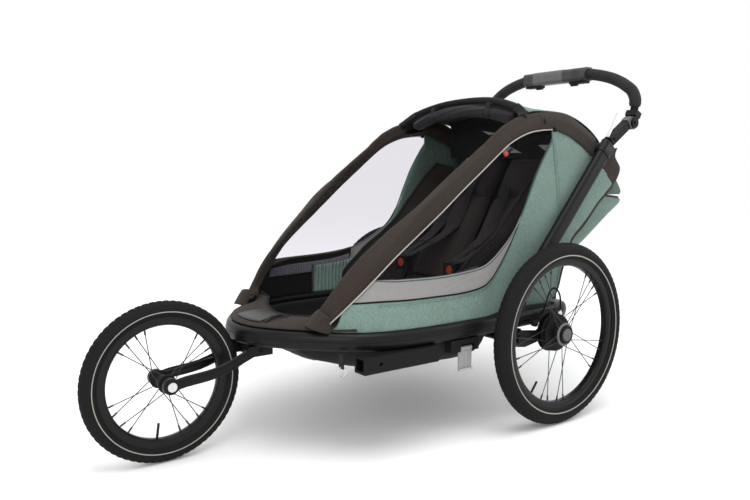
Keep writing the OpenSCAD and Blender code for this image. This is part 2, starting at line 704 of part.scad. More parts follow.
// How far the panel bulges outward, halfway up
function bulge(t) = 4 * t * (1 - t);
function panel_point(low, high, t, out) = mix(low, high, t) + [0, out + 7 * bulge(t), 0];
function panel_ring(low, high, t0, t1, steps = 5) = concat(
  [for (k = [0 : steps]) panel_point(low, high, mix(t0, t1, k / steps), -panel_t)],
  [for (k = [steps : -1 : 0]) panel_point(low, high, mix(t0, t1, k / steps), 0)]
);
module side_fabrics() {
  color("#74927f") on_frame() both_sides() loft(concat(
    [for (s = side_stations) panel_ring(s[0], s[1], 0, min(s[2], 1))],
    [for (s = rear_stations) panel_ring(s[0], s[1], 0, 1)]
  ));
}
module side_windows() {
  color("#c8c8d0", 0.4) on_frame() both_sides() loft([
    for (i = [3 : len(side_stations) - 2])
      let (s = side_stations[i]) panel_ring(s[0], s[1], s[2] + 0.02, 1)
  ]);
}
roof_stations = [[-20, 844, 44], [-66, 852, 36], [-140, 838, 32], [-210, 806, 28], [-262, 772, 22]];
module roof_fabric() {
  color("#2a2a2c") on_frame() loft([
    for (s = roof_stations) concat(
      [for (k = [-5 : 5]) [s[0], k * 50, s[1] + s[2] * (1 - k * k / 25)]],
      [for (k = [5 : -1 : -5]) [s[0], k * 50, s[1] + s[2] * (1 - k * k / 25) - panel_t]]
    )
  ]);
}
rear_line = [[-266, 740], [-306, 680], [-236, 575], [-158, 480], [-122, 400], [-118, 312]];
module rear_fabric() {
  color("#2a2a2c") on_frame() loft([
    for (p = rear_line) [
      [p[0] + panel_t, -252, p[1]], [p[0], -252, p[1]], [p[0], 252, p[1]], [p[0] + panel_t, 252, p[1]]
    ]
  ]);
}
// Half of the bag's width
bag_half = 206;
bag_wall = 4;
module storage_bag() {
  outside = [[-336, 614], [-465, 599], [-484, 584], [-248, 435], [-192, 462]];
  inside = [[-341, 640], [-461, 640], [-461, 596], [-477.5, 584.3], [-248, 440], [-198, 463]];
  color("#74927f") on_frame() difference() {
    translate([0, bag_half, 0]) rotate([90, 0, 0]) linear_extrude(2 * bag_half) polygon(outside);
    translate([0, bag_half - bag_wall, 0]) rotate([90, 0, 0])
      linear_extrude(2 * (bag_half - bag_wall)) polygon(inside);
  }
}

base_ring();
floor_tub();
axle_beam();
pivot_brackets();
seat_board();
tow_receiver();
lever_bracket();
lock_lever();
ring_strap();
d_ring();
fork_bridge();
jogger_fork();
jogger_axle();
jogger_tyre();
jogger_rim();
jogger_spokes();
jogger_hub();
left_swing_arm();
left_brake_plate();
left_brake_lever();
left_tyre();
left_rim();
left_spokes();
left_hub();
left_release_button();
right_swing_arm();
right_brake_plate();
right_brake_lever();
right_tyre();
right_rim();
right_spokes();
right_hub();
right_release_button();
elastomers();
brake_cables();
brake_pedal();
seat_cushions();
seat_back();
buckles();
left_buckle_button();
right_buckle_button();
hoop_front();
roof_bow();
hoop_sleeves();
rolled_cover();
hoop_rear();
rear_sleeves();
posts();
handle_extensions();
elbow_collars();
handle_tube();
grip_foam();
handle_console();
left_grip_trigger();
right_grip_trigger();
side_fabrics();
side_windows();
roof_fabric();
rear_fabric();
storage_bag();
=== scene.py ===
"""Child bicycle trailer: sewn cabin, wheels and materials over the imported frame."""
import math

import bpy
import numpy as np
from mathutils import Matrix, Vector


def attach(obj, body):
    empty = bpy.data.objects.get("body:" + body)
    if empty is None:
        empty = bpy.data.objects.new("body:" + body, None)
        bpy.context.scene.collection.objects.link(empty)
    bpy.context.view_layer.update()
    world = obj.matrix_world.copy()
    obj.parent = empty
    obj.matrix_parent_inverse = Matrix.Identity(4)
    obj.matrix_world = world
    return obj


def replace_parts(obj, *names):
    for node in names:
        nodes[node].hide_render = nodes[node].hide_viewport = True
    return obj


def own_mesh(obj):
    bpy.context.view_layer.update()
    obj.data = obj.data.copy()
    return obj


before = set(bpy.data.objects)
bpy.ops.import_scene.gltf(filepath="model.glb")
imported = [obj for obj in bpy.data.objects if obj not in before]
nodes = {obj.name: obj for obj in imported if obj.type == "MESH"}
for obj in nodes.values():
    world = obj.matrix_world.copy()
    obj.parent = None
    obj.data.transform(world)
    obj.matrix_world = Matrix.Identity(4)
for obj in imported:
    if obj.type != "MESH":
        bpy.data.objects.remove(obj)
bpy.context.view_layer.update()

AXLE_X = 337.0  # mm from the rear axle to the row frame's origin, along X
SIDE_FOOT = 309.5  # where the measured side begins, just over the ring
CLOTH_FOOT = 305.5  # where its cloth ends, behind the ring's edge
CABIN_HALF = 262  # half width of the roof and of what hangs from it
WHEEL_Y, WHEEL_R = 372, 247
JOGGER_X, JOGGER_R = 966, 192
HANDLE_X = -397
SIM_FRAMES = 20
CAMERA_LENS, CAMERA_ROLL = 35.36, 0.17
CAMERA_PLACE, CAMERA_AIM = (1.22952, 1.64440, 0.69114), (-0.5909, -0.7990, -0.1111)
WORLD_LIGHT = 1.0
FLOOR_RADIUS, FLOOR_SIDES = 30, 64


# ---------------------------------------------------------------- shapes, in mm from the rear axle


def to_metres(points):
    return (np.asarray(points, float).reshape(-1, 3) - [AXLE_X, 0, 0]) / 1000


def spline(points, count):
    """A smooth line through the points, resampled to an even count of points."""
    p = np.asarray(points, float)
    ext = np.vstack([2 * p[0] - p[1], p, 2 * p[-1] - p[-2]])
    fine = []
    for i in range(1, len(ext) - 2):
        a, b, c, d = ext[i - 1], ext[i], ext[i + 1], ext[i + 2]
        for t in np.linspace(0, 1, 24, endpoint=False):
            fine.append(0.5 * (2 * b + (c - a) * t + (2 * a - 5 * b + 4 * c - d) * t * t
                               + (3 * b - a - 3 * c + d) * t ** 3))
    fine.append(p[-1])
    return even(np.array(fine), count)


def even(line, count):
    length = np.r_[0, np.cumsum(np.linalg.norm(np.diff(line, axis=0), axis=1))]
    want = np.linspace(0, length[-1], count)
    return np.stack([np.interp(want, length, line[:, k]) for k in range(line.shape[1])], 1)


def flipped(p):
    q = np.array(p, float)
    q[..., 1] *= -1
    return q


def waves(p, seed, size=60.0):
    """A smooth wrinkle height from -1 to 1 at points in mm, the same on every run."""
    rng = np.random.default_rng(seed)
    out = np.zeros(p.shape[:-1])
    for k in range(7):
        direction = rng.normal(size=3)
        direction /= np.linalg.norm(direction)
        wavelength = size * rng.uniform(0.6, 1.8)
        out += np.sin(p @ direction * 2 * math.pi / wavelength + rng.uniform(0, 6.28)) / 7
    return out


# ---------------------------------------------------------------- meshes


def piece(name, points, faces, body, material, slot=None):
    mesh = bpy.data.meshes.new(name)
    mesh.from_pydata([tuple(v) for v in to_metres(points)], [], [tuple(int(i) for i in f) for f in faces])
    mesh.validate()
    mesh.update()
    mesh.polygons.foreach_set("use_smooth", [True] * len(mesh.polygons))
    obj = bpy.data.objects.new(name, mesh)
    bpy.context.scene.collection.objects.link(obj)
    mesh.materials.append(material)
    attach(obj, body)
    return obj


def grid_faces(n, m, wrap_n=False, wrap_m=False):
    faces = []
    for i in range(n if wrap_n else n - 1):
        for j in range(m if wrap_m else m - 1):
            a, b = i, (i + 1) % n
            c, d = j, (j + 1) % m
            faces.append((a * m + c, b * m + c, b * m + d, a * m + d))
    return faces


def normals(grid):
    u = np.gradient(grid, axis=0)
    v = np.gradient(grid, axis=1)
    n = np.cross(u, v)
    return n / np.maximum(np.linalg.norm(n, axis=2, keepdims=True), 1e-9)


def shell_faces(n, m):
    """Faces of a closed shell: an n by m front, the same behind it, and a rim between them."""
    faces = grid_faces(n, m)
    faces += [tuple(reversed([i + n * m for i in f])) for f in grid_faces(n, m)]
    rim = ([(i, 0) for i in range(n)] + [(n - 1, j) for j in range(1, m)]
           + [(i, m - 1) for i in range(n - 2, -1, -1)] + [(0, j) for j in range(m - 2, 0, -1)])
    ids = [i * m + j for i, j in rim]
    return faces + [(b, a, a + n * m, b + n * m) for a, b in zip(ids, ids[1:] + ids[:1])]


def cloth_shell(grid, thick):
    """A closed shell of even thickness on a grid of points."""
    offset = normals(grid) * thick / 2
    points = np.vstack([(grid + offset).reshape(-1, 3), (grid - offset).reshape(-1, 3)])
    return points, shell_faces(*grid.shape[:2])


def sheet(name, grid, body, material, thick, slot=None):
    return piece(name, *cloth_shell(grid, thick), body, material, slot)


def tube(line, sections):
    """Rings of points round a line, joined and capped; sections is one (n, 2) outline or one a ring."""
    line = np.asarray(line, float)
    tangent = np.gradient(line, axis=0)
    tangent /= np.linalg.norm(tangent, axis=1, keepdims=True)
    rings = []
    for i, (p, t) in enumerate(zip(line, tangent)):
        side = np.array([0, 1.0, 0]) if abs(t[1]) < 0.9 else np.array([1.0, 0, 0])
        a = side - t * (side @ t)
        a /= np.linalg.norm(a)
        b = np.cross(t, a)
        outline = sections[i] if np.ndim(sections) == 3 else sections
        rings.append(p + np.outer(outline[:, 0], a) + np.outer(outline[:, 1], b))
    n, m = len(rings), len(rings[0])
    faces = grid_faces(n, m, wrap_m=True)
    faces += [tuple(range(m)), tuple(reversed(range((n - 1) * m, n * m)))]
    return np.vstack(rings), [tuple(reversed(f)) for f in faces]


def oval(w, h, count=20, power=2.0):
    a = np.linspace(0, 2 * math.pi, count, endpoint=False)
    c, s = np.cos(a), np.sin(a)
    return np.stack([w / 2 * np.sign(c) * np.abs(c) ** (2 / power),
                     h / 2 * np.sign(s) * np.abs(s) ** (2 / power)], 1)


def joined(parts):
    points, faces, start = [], [], 0
    for p, f in parts:
        points.append(np.asarray(p, float).reshape(-1, 3))
        faces += [tuple(i + start for i in q) for q in f]
        start += len(points[-1])
    return np.vstack(points), faces


def mirrored(points, faces):
    return flipped(np.asarray(points)), [tuple(reversed(f)) for f in faces]


def both(name, points, faces, body, material, slot=None):
    """The same piece on the left and, mirrored, on the right; body may hold {} for the side."""
    left = piece("left_" + name, points, faces, body.format("left"), material, slot)
    points, faces = mirrored(points, faces)
    right = piece("right_" + name, points, faces, body.format("right"), material, slot)
    return left, right


def spun(profile, x, z, turns=160, wobble=None):
    """A profile of (radius, y) turned about an axle along Y at x, z."""
    profile = np.asarray(profile, float)
    angle = np.linspace(0, 2 * math.pi, turns, endpoint=False)
    r, y = profile[:, 0], profile[:, 1]
    rr = np.repeat(r[None], turns, 0)
    if wobble is not None:
        rr = rr + wobble(angle[:, None], np.arange(len(r))[None])
    points = np.stack([x + rr * np.sin(angle)[:, None], np.repeat(y[None], turns, 0),
                       z + rr * np.cos(angle)[:, None]], 2)
    return points.reshape(-1, 3), grid_faces(turns, len(r), wrap_n=True, wrap_m=True)


def stitches(line, length=3.2, gap=2.4, thick=0.9):
    """A row of thread dashes along a line."""
    line = np.asarray(line, float)
    total = np.linalg.norm(np.diff(line, axis=0), axis=1).sum()
    count = max(2, int(total / (length + gap)))
    ends = even(line, 2 * count)
    parts = []
    for a, b in zip(ends[0::2], ends[1::2]):
        d = (b - a) / max(np.linalg.norm(b - a), 1e-9)
        b = a + d * length
        parts.append(tube(np.array([a, a + d * 0.4, b - d * 0.4, b]),
                          np.stack([oval(thick * k, thick * k, 6) for k in (0.5, 1, 1, 0.5)])))
    return joined(parts)


def across(rows, half, columns, section):
    """A grid of cloth across the trailer; section gives x and z for a row at y."""
    y = np.linspace(-half, half, columns)
    grid = []
    for row in rows:
        x, z = section(row, y)
        grid.append(np.stack(np.broadcast_arrays(x, y, z), 1))
    return np.array(grid)


def fold_with_hoop(*objects):
    """Gives pieces of the cabin each their own copy of their mesh."""
    for obj in objects:
        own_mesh(obj)


def folding(name, shape, material, slot=None):
    """A left and right pair on the chassis, each with its own copy of its mesh."""
    fold_with_hoop(*both(name, *shape, "chassis", material, slot))


# ---------------------------------------------------------------- materials


class Nodes:
    """A small helper that adds and links shader nodes."""

    def __init__(self, name):
        self.material = bpy.data.materials.new(name)
        self.material.use_nodes = True
        self.tree = self.material.node_tree
        self.shader = self.tree.nodes["Principled BSDF"]
        self.place = self.add("ShaderNodeTexCoord").outputs["Object"]

    def add(self, kind, inputs=None, **settings):
        made = self.tree.nodes.new(kind)
        for key, value in settings.items():
            setattr(made, key, value)
        for key, value in (inputs or {}).items():
            if hasattr(value, "is_output"):
                self.tree.links.new(value, made.inputs[key])
            else:
                made.inputs[key].default_value = value
        return made

    def set(self, **values):
        for key, value in values.items():
            self.shader.inputs[key.replace("_", " ")].default_value = value

    def link(self, output, name):
        self.tree.links.new(output, self.shader.inputs[name])

    def stretched(self, scale):
        return self.add("ShaderNodeMapping", {"Vector": self.place, "Scale": scale}).outputs[0]

    def noise(self, scale, detail=3.0, place=None, rough=0.6):
        made = self.add("ShaderNodeTexNoise", {"Vector": place or self.place, "Scale": scale,
                                               "Detail": detail, "Roughness": rough})
        return made.outputs["Fac"]

    def wave(self, scale, direction):
        made = self.add("ShaderNodeTexWave", {"Vector": self.place, "Scale": scale, "Distortion": 0.6,
                                              "Detail": 1.0}, bands_direction=direction)
        return made.outputs["Fac"]

    def math(self, kind, a, b):
        return self.add("ShaderNodeMath", {0: a, 1: b}, operation=kind).outputs[0]

    def ramp(self, value, stops, kind="LINEAR"):
        made = self.add("ShaderNodeValToRGB", {"Fac": value})
        made.color_ramp.interpolation = kind
        elements = made.color_ramp.elements
        while len(elements) < len(stops):
            elements.new(0.5)
        for element, (where, colour) in zip(elements, stops):
            element.position = where
            element.color = (*colour, 1)
        return made.outputs["Color"]

    def fade(self, value, low, high, dark, light):
        """Grey from dark where value is low to light where it is high."""
        return self.ramp(value, [(low, (dark,) * 3), (high, (light,) * 3)])

    def mix(self, factor, a, b):
        made = self.add("ShaderNodeMix", data_type="RGBA")
        for key, value in ((0, factor), (6, a), (7, b)):
            if hasattr(value, "is_output"):
                self.tree.links.new(value, made.inputs[key])
            else:
                made.inputs[key].default_value = value if key == 0 else (*value, 1)
        return made.outputs[2]

    def bump(self, height, strength, distance):
        made = self.add("ShaderNodeBump", {"Height": height, "Strength": strength, "Distance": distance})
        self.link(made.outputs["Normal"], "Normal")


def shade(colour, k):
    return tuple(min(1.0, c * k) for c in colour)


def woven(name, colour, fleck=0.35, thread=0.0014, roughness=0.88, bump=0.5, sheen=0.06):
    """Plain weave: crossing threads, flecks of lighter and darker yarn, and slow wear."""
    n = Nodes(name)
    colour = shade(colour, 0.62)
    scale = 1 / (20 * thread / (2 * math.pi))
    weave = n.math("ADD", n.wave(scale, "X"), n.math("ADD", n.wave(scale, "Y"), n.wave(scale, "Z")))
    yarn = n.noise(1 / thread * 0.55, 2.0, n.stretched((1, 1, 0.35)))
    worn = n.noise(9.0, 4.0)
    tone = n.ramp(yarn, [(0.32, shade(colour, 1 - fleck)), (0.5, colour), (0.68, shade(colour, 1 + fleck))])
    tone = n.mix(n.math("MULTIPLY", weave, 0.1), tone, shade(colour, 0.55))
    tone = n.mix(n.fade(worn, 0.35, 0.75, 0, 0.22), tone, shade(colour, 1.3))
    n.link(tone, "Base Color")
    n.link(n.fade(worn, 0.3, 0.8, roughness, roughness - 0.08), "Roughness")
    n.set(Sheen_Weight=sheen, Sheen_Roughness=0.5, Specular_IOR_Level=0.12)
    n.bump(n.math("ADD", weave, yarn), bump, 0.0006)
    return n.material


def moulded(name, colour, roughness=0.45, grain=0.25, coat=0.0, wear=0.35):
    """Moulded plastic or painted metal: fine grain, handling marks and paler edges."""
    n = Nodes(name)
    colour = shade(colour, 0.3)
    grains = n.noise(1600.0, 2.0)
    marks = n.noise(26.0, 6.0, rough=0.7)
    edge = n.fade(n.add("ShaderNodeNewGeometry").outputs["Pointiness"], 0.52, 0.6, 0, wear)
    tone = n.mix(n.fade(marks, 0.3, 0.8, 0, 0.3), colour, shade(colour, 1.5))
    n.link(n.mix(edge, tone, shade(colour, 3.0)), "Base Color")
    n.link(n.fade(marks, 0.3, 0.75, roughness - 0.05, roughness + 0.1), "Roughness")
    n.set(Coat_Weight=coat, Coat_Roughness=0.15, Specular_IOR_Level=0.13)
    n.bump(grains, grain, 0.0002)
    return n.material


def rubber(name, colour, roughness=0.72):
    n = Nodes(name)
    colour = shade(colour, 0.4)
    dust = n.noise(34.0, 6.0, rough=0.75)
    pores = n.noise(900.0, 3.0)
    n.link(n.mix(n.fade(dust, 0.4, 0.8, 0, 0.35), colour, shade(colour, 2.2)), "Base Color")
    n.link(n.fade(dust, 0.3, 0.8, roughness - 0.1, roughness + 0.12), "Roughness")
    n.set(Specular_IOR_Level=0.1)
    n.bump(pores, 0.35, 0.0003)
    return n.material


def foam(name, colour):
    n = Nodes(name)
    cells = n.add("ShaderNodeTexVoronoi", {"Vector": n.place, "Scale": 520.0}).outputs["Distance"]
    rub = n.noise(20.0, 5.0)
    n.link(n.mix(n.fade(rub, 0.4, 0.8, 0, 0.4), colour, shade(colour, 2.0)), "Base Color")
    n.set(Roughness=0.82, Sheen_Weight=0.05, Specular_IOR_Level=0.15)
    n.bump(n.math("ADD", cells, n.noise(1300.0, 2.0)), 0.6, 0.0006)
    return n.material


def leather(name, colour):
    n = Nodes(name)
    grain = n.add("ShaderNodeTexVoronoi", {"Vector": n.place, "Scale": 420.0}).outputs["Distance"]
    worn = n.noise(24.0, 5.0)
    n.link(n.mix(n.fade(worn, 0.35, 0.8, 0, 0.5), colour, shade(colour, 1.7)), "Base Color")
    n.link(n.fade(worn, 0.3, 0.8, 0.5, 0.38), "Roughness")
    n.bump(grain, 0.5, 0.0005)
    return n.material


def metal(name, colour, roughness):
    n = Nodes(name)
    brush = n.noise(500.0, 3.0, n.stretched((1, 1, 0.04)))
    spots = n.noise(40.0, 5.0)
    n.link(n.mix(n.fade(spots, 0.4, 0.8, 0, 0.3), colour, shade(colour, 0.75)), "Base Color")
    n.link(n.fade(brush, 0.3, 0.7, roughness, roughness + 0.14), "Roughness")
    n.set(Metallic=1.0)
    n.bump(brush, 0.12, 0.0002)
    return n.material


def film(name, colour, tint, gloss):
    """Clear window film: what is behind it shows, a little tinted, under a faint rippled gloss."""
    n = Nodes(name)
    ripple = n.noise(6.0, 2.0)
    scuff = n.noise(40.0, 5.0, rough=0.7)
    n.link(n.ramp(scuff, [(0.4, colour), (0.85, shade(colour, 1.5))]), "Base Color")
    n.link(n.fade(scuff, 0.4, 0.85, 0.06, 0.12), "Roughness")
    n.set(Specular_IOR_Level=0.3)
    n.bump(ripple, 0.2, 0.003)
    clear = n.add("ShaderNodeBsdfTransparent", {"Color": (*tint, 1)})
    both_shaders = n.add("ShaderNodeMixShader", {0: gloss, 1: clear.outputs[0], 2: n.shader.outputs[0]})
    n.tree.links.new(both_shaders.outputs[0], n.tree.nodes["Material Output"].inputs["Surface"])
    return n.material


def banded(name, stops, roughness=0.5):
    """Hard colour fields across the trailer, as (y in metres, colour)."""
    n = Nodes(name)
    reach = 0.15
    y = n.add("ShaderNodeSeparateXYZ", {"Vector": n.place}).outputs["Y"]
    place = n.add("ShaderNodeMapRange", {"Value": y, "From Min": -reach, "From Max": reach}).outputs[0]
    fields = n.ramp(place, [((where + reach) / (2 * reach), colour) for where, colour in stops], "CONSTANT")
    marks = n.noise(30.0, 5.0)
    n.link(n.mix(n.fade(marks, 0.35, 0.8, 0, 0.25), fields, (0.2, 0.2, 0.2)), "Base Color")
    n.link(n.fade(marks, 0.3, 0.8, roughness - 0.06, roughness + 0.08), "Roughness")
    n.bump(n.noise(1500.0, 2.0), 0.3, 0.0003)
    return n.material


GREEN = (0.262, 0.385, 0.335)
BROWN = (0.054, 0.040, 0.034)
green = woven("green_melange", GREEN, fleck=0.24, thread=0.0013)
# The same green darkened for pieces that sit in shade: painted shade
green_painted_shade = woven("green_melange_painted_shade", shade(GREEN, 0.55), fleck=0.35)
brown = woven("brown_canvas", BROWN, fleck=0.25, thread=0.0012)
band_grey = woven("reflective_band", (0.42, 0.40, 0.40), fleck=0.1, thread=0.001, roughness=0.6, sheen=0.1)
band_lilac = woven("band_inside", (0.22, 0.21, 0.25), fleck=0.15)
black_cloth = woven("black_lining", (0.013, 0.013, 0.014), fleck=0.3)
belly_cloth = woven("coated_belly", (0.02, 0.02, 0.021), fleck=0.2, roughness=0.65, bump=0.3)
seat_cloth = woven("seat_cloth", (0.047, 0.037, 0.034), fleck=0.22, thread=0.0011)
seat_mesh = woven("seat_spacer_mesh", (0.036, 0.029, 0.027), fleck=0.3, thread=0.0026, bump=0.9)
roll_cloth = woven("rolled_cover_cloth", (0.020, 0.017, 0.023), fleck=0.2, roughness=0.7)
webbing = woven("webbing", (0.022, 0.020, 0.020), fleck=0.25, thread=0.0022, bump=0.9)
olive = woven("olive_binding", (0.085, 0.078, 0.062), fleck=0.2, thread=0.001)
triangle_grey = woven("reflective_patch", (0.55, 0.53, 0.53), fleck=0.1, thread=0.001, roughness=0.5)
piping_white = woven("piping", (0.62, 0.60, 0.56), fleck=0.08, thread=0.0012, roughness=0.6)
thread_dark = woven("thread", (0.05, 0.045, 0.042), fleck=0.2, thread=0.0006)
thread_green = woven("thread_green", (0.10, 0.17, 0.14), fleck=0.2, thread=0.0006)
flap_leather = leather("grip_flap", (0.022, 0.022, 0.023))
ring_black = moulded("ring_plastic", (0.017, 0.017, 0.018), roughness=0.36, grain=0.15, coat=0.08)
part_black = moulded("black_plastic", (0.016, 0.016, 0.017), roughness=0.5)
paint_black = moulded("black_paint", (0.014, 0.014, 0.015), roughness=0.38, grain=0.1, coat=0.06)
post_black = moulded("post_anodised", (0.018, 0.018, 0.019), roughness=0.4, grain=0.12, coat=0.04)
grey_part = moulded("grey_plastic", (0.30, 0.30, 0.31), roughness=0.48)
pale_part = moulded("pale_grey_plastic", (0.9, 0.9, 0.92), roughness=0.5)
red_part = moulded("red_plastic", (1.0, 0.13, 0.07), roughness=0.28, grain=0.05, coat=0.3, wear=0.1)
rust_part = moulded("pedal_plastic", (0.4, 0.08, 0.06), roughness=0.45)
tyre_rubber = rubber("tyre_rubber", (0.020, 0.020, 0.021))
seal_rubber = rubber("stop_rubber", (0.04, 0.04, 0.04), 0.6)
cable_skin = rubber("cable_skin", (0.014, 0.014, 0.014), 0.5)
foam_black = foam("grip_foam", (0.018, 0.018, 0.019))
rim_black = moulded("rim_anodised", (0.018, 0.018, 0.019), roughness=0.32, grain=0.05, coat=0.06)
reflective = woven("reflective_stripe", (0.50, 0.48, 0.42), fleck=0.06, thread=0.0008, roughness=0.4,
                   bump=0.2)
spoke_steel = metal("black_spokes", (0.05, 0.05, 0.053), 0.4)
steel = metal("plated_steel", (0.62, 0.62, 0.64), 0.24)
# Bright metal for the strips that paint in the extensions' specular highlight
highlight_strip_metal = metal("highlight_strip_aluminium", (0.78, 0.78, 0.80), 0.3)
window_film = film("window_film", (0.02, 0.02, 0.022), (0.915, 0.905, 0.93), 0.03)
console_mix = banded("console_fields", [(-0.15, (0.006, 0.006, 0.006)), (-0.086, (0.09, 0.09, 0.093)),
                                        (0.038, (0.016, 0.012, 0.015)), (0.078, (0.006, 0.006, 0.006))])


# ---------------------------------------------------------------- measured lines, in mm from the rear axle
# The edges of the sleeves and of their piping: points seen in the photo, placed through its fitted camera

PIPING = [(654, 204, 311), (645, 214, 323), (607, 233, 362), (547, 250, 418), (481, 260, 477),
          (409, 267, 533), (345, 272, 582), (281, 275, 633), (215, 278, 683), (153, 280, 730),
          (113, 280, 757), (71, 280, 776), (32, 280, 788), (-8, 280, 794)]
PIPING_REAR = [(-8, 280, 794), (-49, 280, 797), (-79, 280, 792), (-127, 280, 779), (-181, 280, 755),
               (-228, 280, 724)]
SLEEVE_TOP = [(662, 176, 343), (640, 184, 372), (600, 198, 427), (550, 207, 478), (500, 217, 521),
              (450, 229, 561), (404, 240, 595), (354, 250, 636), (302, 256, 677), (248, 260, 716),
              (191, 263, 756), (157, 265, 783), (122, 267, 806), (71, 268, 828), (19, 269, 840),
              (-9, 270, 844)]
SLEEVE_TOP_REAR = [(-9, 270, 844), (-84, 270, 849), (-135, 271, 842), (-195, 272, 815), (-252, 272, 785)]
EDGE = np.array(sorted(PIPING + PIPING_REAR[1:] + [(-317, 275, 674), (-345, 275, 644)]), float)
# Half width of the cabin's side at its foot, as (x, y)
RING_Y = np.array([(-345, 264), (-157, 262), (-100, 261), (-40, 262), (60, 256), (110, 266), (165, 284),
                   (185, 291), (215, 298), (255, 299), (300, 300), (350, 301), (410, 300), (470, 296),
                   (525, 286), (575, 268), (610, 243), (640, 214)], float)


def side_y(x, z):
    """How far out the cabin's side stands at x, z."""
    low = np.interp(x, RING_Y[:, 0], RING_Y[:, 1])
    top = np.interp(x, EDGE[:, 0], EDGE[:, 1]) - 6
    tall = np.maximum(np.interp(x, EDGE[:, 0], EDGE[:, 2]) - SIDE_FOOT, 10)
    t = np.clip((z - SIDE_FOOT) / tall, 0, 1)
    return low * (1 - t) + top * t + 28 * t * (1 - t)


def side_grid(upper, lower, rows, columns, inward=0.0, wrinkle=1.0, seed=3, size=70):
    """A grid on the cabin's side between two (x, z) lines that are matched point for point."""
    upper, lower = np.array(upper, float), np.array(lower, float)
    both_lines = spline(np.hstack([upper, lower]), columns)
    t = np.linspace(0, 1, rows)[:, None, None]
    xz = both_lines[None, :, 0:2] * t + both_lines[None, :, 2:4] * (1 - t)
    y = side_y(xz[..., 0], xz[..., 1]) - inward
    grid = np.stack([xz[..., 0], y, xz[..., 1]], 2)
    calm = np.sin(np.pi * np.linspace(0, 1, rows))[:, None] ** 0.6
    grid[..., 1] += waves(grid, seed, size) * wrinkle * calm
    return grid


# ---------------------------------------------------------------- frame: moulded and metal parts

FINISH = {
    paint_black: "axle_beam pivot_brackets jogger_fork left_swing_arm right_swing_arm left_brake_plate "
                 "right_brake_plate hoop_front hoop_rear handle_tube",
    part_black: "tow_receiver lever_bracket fork_bridge seat_board jogger_hub left_hub right_hub "
                "left_grip_trigger right_grip_trigger buckles",
    pale_part: "lock_lever",
    steel: "d_ring jogger_axle left_brake_lever right_brake_lever",
    rim_black: "left_rim right_rim jogger_rim",
    spoke_steel: "left_spokes right_spokes jogger_spokes",
    grey_part: "left_release_button right_release_button elbow_collars",
    seal_rubber: "elastomers",
    cable_skin: "brake_cables",
    rust_part: "brake_pedal",
    red_part: "left_buckle_button right_buckle_button",
    post_black: "posts handle_extensions",
    console_mix: "handle_console",
}


def finish_part(name, material, bevel=0.9):
    obj = nodes[name]
    obj.data.materials.clear()
    obj.data.materials.append(material)
    obj.data.polygons.foreach_set("use_smooth", [True] * len(obj.data.polygons))
    weld = obj.modifiers.new("weld", "WELD")
    weld.merge_threshold = 0.00002
    if bevel:
        edge = obj.modifiers.new("bevel", "BEVEL")
        edge.width = bevel / 1000
        edge.segments = 2
        edge.limit_method = "ANGLE"
        edge.angle_limit = math.radians(38)
        edge.use_clamp_overlap = True
        edge.harden_normals = False
    even_out = obj.modifiers.new("normals", "WEIGHTED_NORMAL")
    even_out.keep_sharp = False


NO_BEVEL = {"left_spokes", "right_spokes", "jogger_spokes", "brake_cables", "left_rim", "right_rim",
            "jogger_rim", "d_ring", "hoop_front", "hoop_rear", "posts"}
for material, names in FINISH.items():
    for name in names.split():
        finish_part(name, material, 0 if name in NO_BEVEL else 0.9)

# Bumper ring with a soft moulded section
RING_HALF = [(786, 0), (778, 55), (758, 100), (728, 146), (690, 190), (640, 240), (580, 284), (500, 308),
             (380, 317), (200, 316), (60, 308), (-60, 298), (-130, 282), (-162, 240), (-172, 150), (-174, 0)]
RING_SECTION = [(12, 262), (5, 264.5), (1.5, 270), (0.4, 278), (0.4, 288), (1.6, 296), (5, 302), (11, 305.4),
                (26, 307.2), (44, 307.8), (52, 306), (55.6, 301), (55.4, 295), (51, 288), (50, 274),
                (48, 266), (42, 262.3)]
outline = np.array(RING_HALF + [(x, -y) for x, y in RING_HALF[-2:0:-1]], float)
wrapped = np.vstack([outline[-3:], outline, outline[:4]])
fine = spline(np.c_[wrapped, np.zeros(len(wrapped))], 900)[:, :2]
start = np.argmin(np.linalg.norm(fine[:450] - outline[0], axis=1))
stop = 450 + np.argmin(np.linalg.norm(fine[450:] - outline[0], axis=1))
ring_line = even(fine[start:stop + 1], 301)[:-1]
along_ring = np.roll(ring_line, -1, 0) - np.roll(ring_line, 1, 0)
along_ring /= np.linalg.norm(along_ring, axis=1, keepdims=True)
inward = np.stack([-along_ring[:, 1], along_ring[:, 0]], 1)


def ring_point(distance, z):
    """The ring's outline moved inward, at one height."""
    p = ring_line + inward * distance
    return np.c_[p, np.full(len(p), z)]


ring_grid = np.stack([ring_point(d, z) for d, z in RING_SECTION], 1)
ring = piece("bumper_ring", ring_grid.reshape(-1, 3),
             grid_faces(len(ring_line), len(RING_SECTION), wrap_n=True, wrap_m=True), "chassis", ring_black)
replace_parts(ring, "base_ring")
groove = np.stack([ring_point(d, z) for d, z in [(0.2, 283.6), (-0.5, 284.4), (-0.5, 285.6), (0.2, 286.4),
                                                 (1.4, 285)]], 1)
piece("bumper_ring_rib", groove.reshape(-1, 3), grid_faces(len(ring_line), 5, wrap_n=True, wrap_m=True),
      "chassis", part_black, slot="ring_black")

# Tub
TUB = [(720, 24, 278), (708, 62, 268), (686, 100, 260), (650, 142, 228), (598, 192, 213), (555, 224, 204),
       (489, 246, 196), (378, 254, 188), (300, 255, 184), (230, 255, 185), (175, 255, 198), (142, 253, 257),
       (62, 246, 260), (-52, 237, 262), (-100, 221, 268), (-108, 206, 278)]


def tub_section(x, wide, low):
    deep = 293 - low
    half = [(wide, 293), (wide - 2, 293 - 0.4 * deep), (wide * 0.93, 293 - 0.85 * deep), (wide * 0.78, low),
            (wide * 0.4, low - 1), (0, low - 2)]
    line = [(x, y, z) for y, z in half] + [(x, -y, z) for y, z in half[-2::-1]]
    return spline(line, 61)


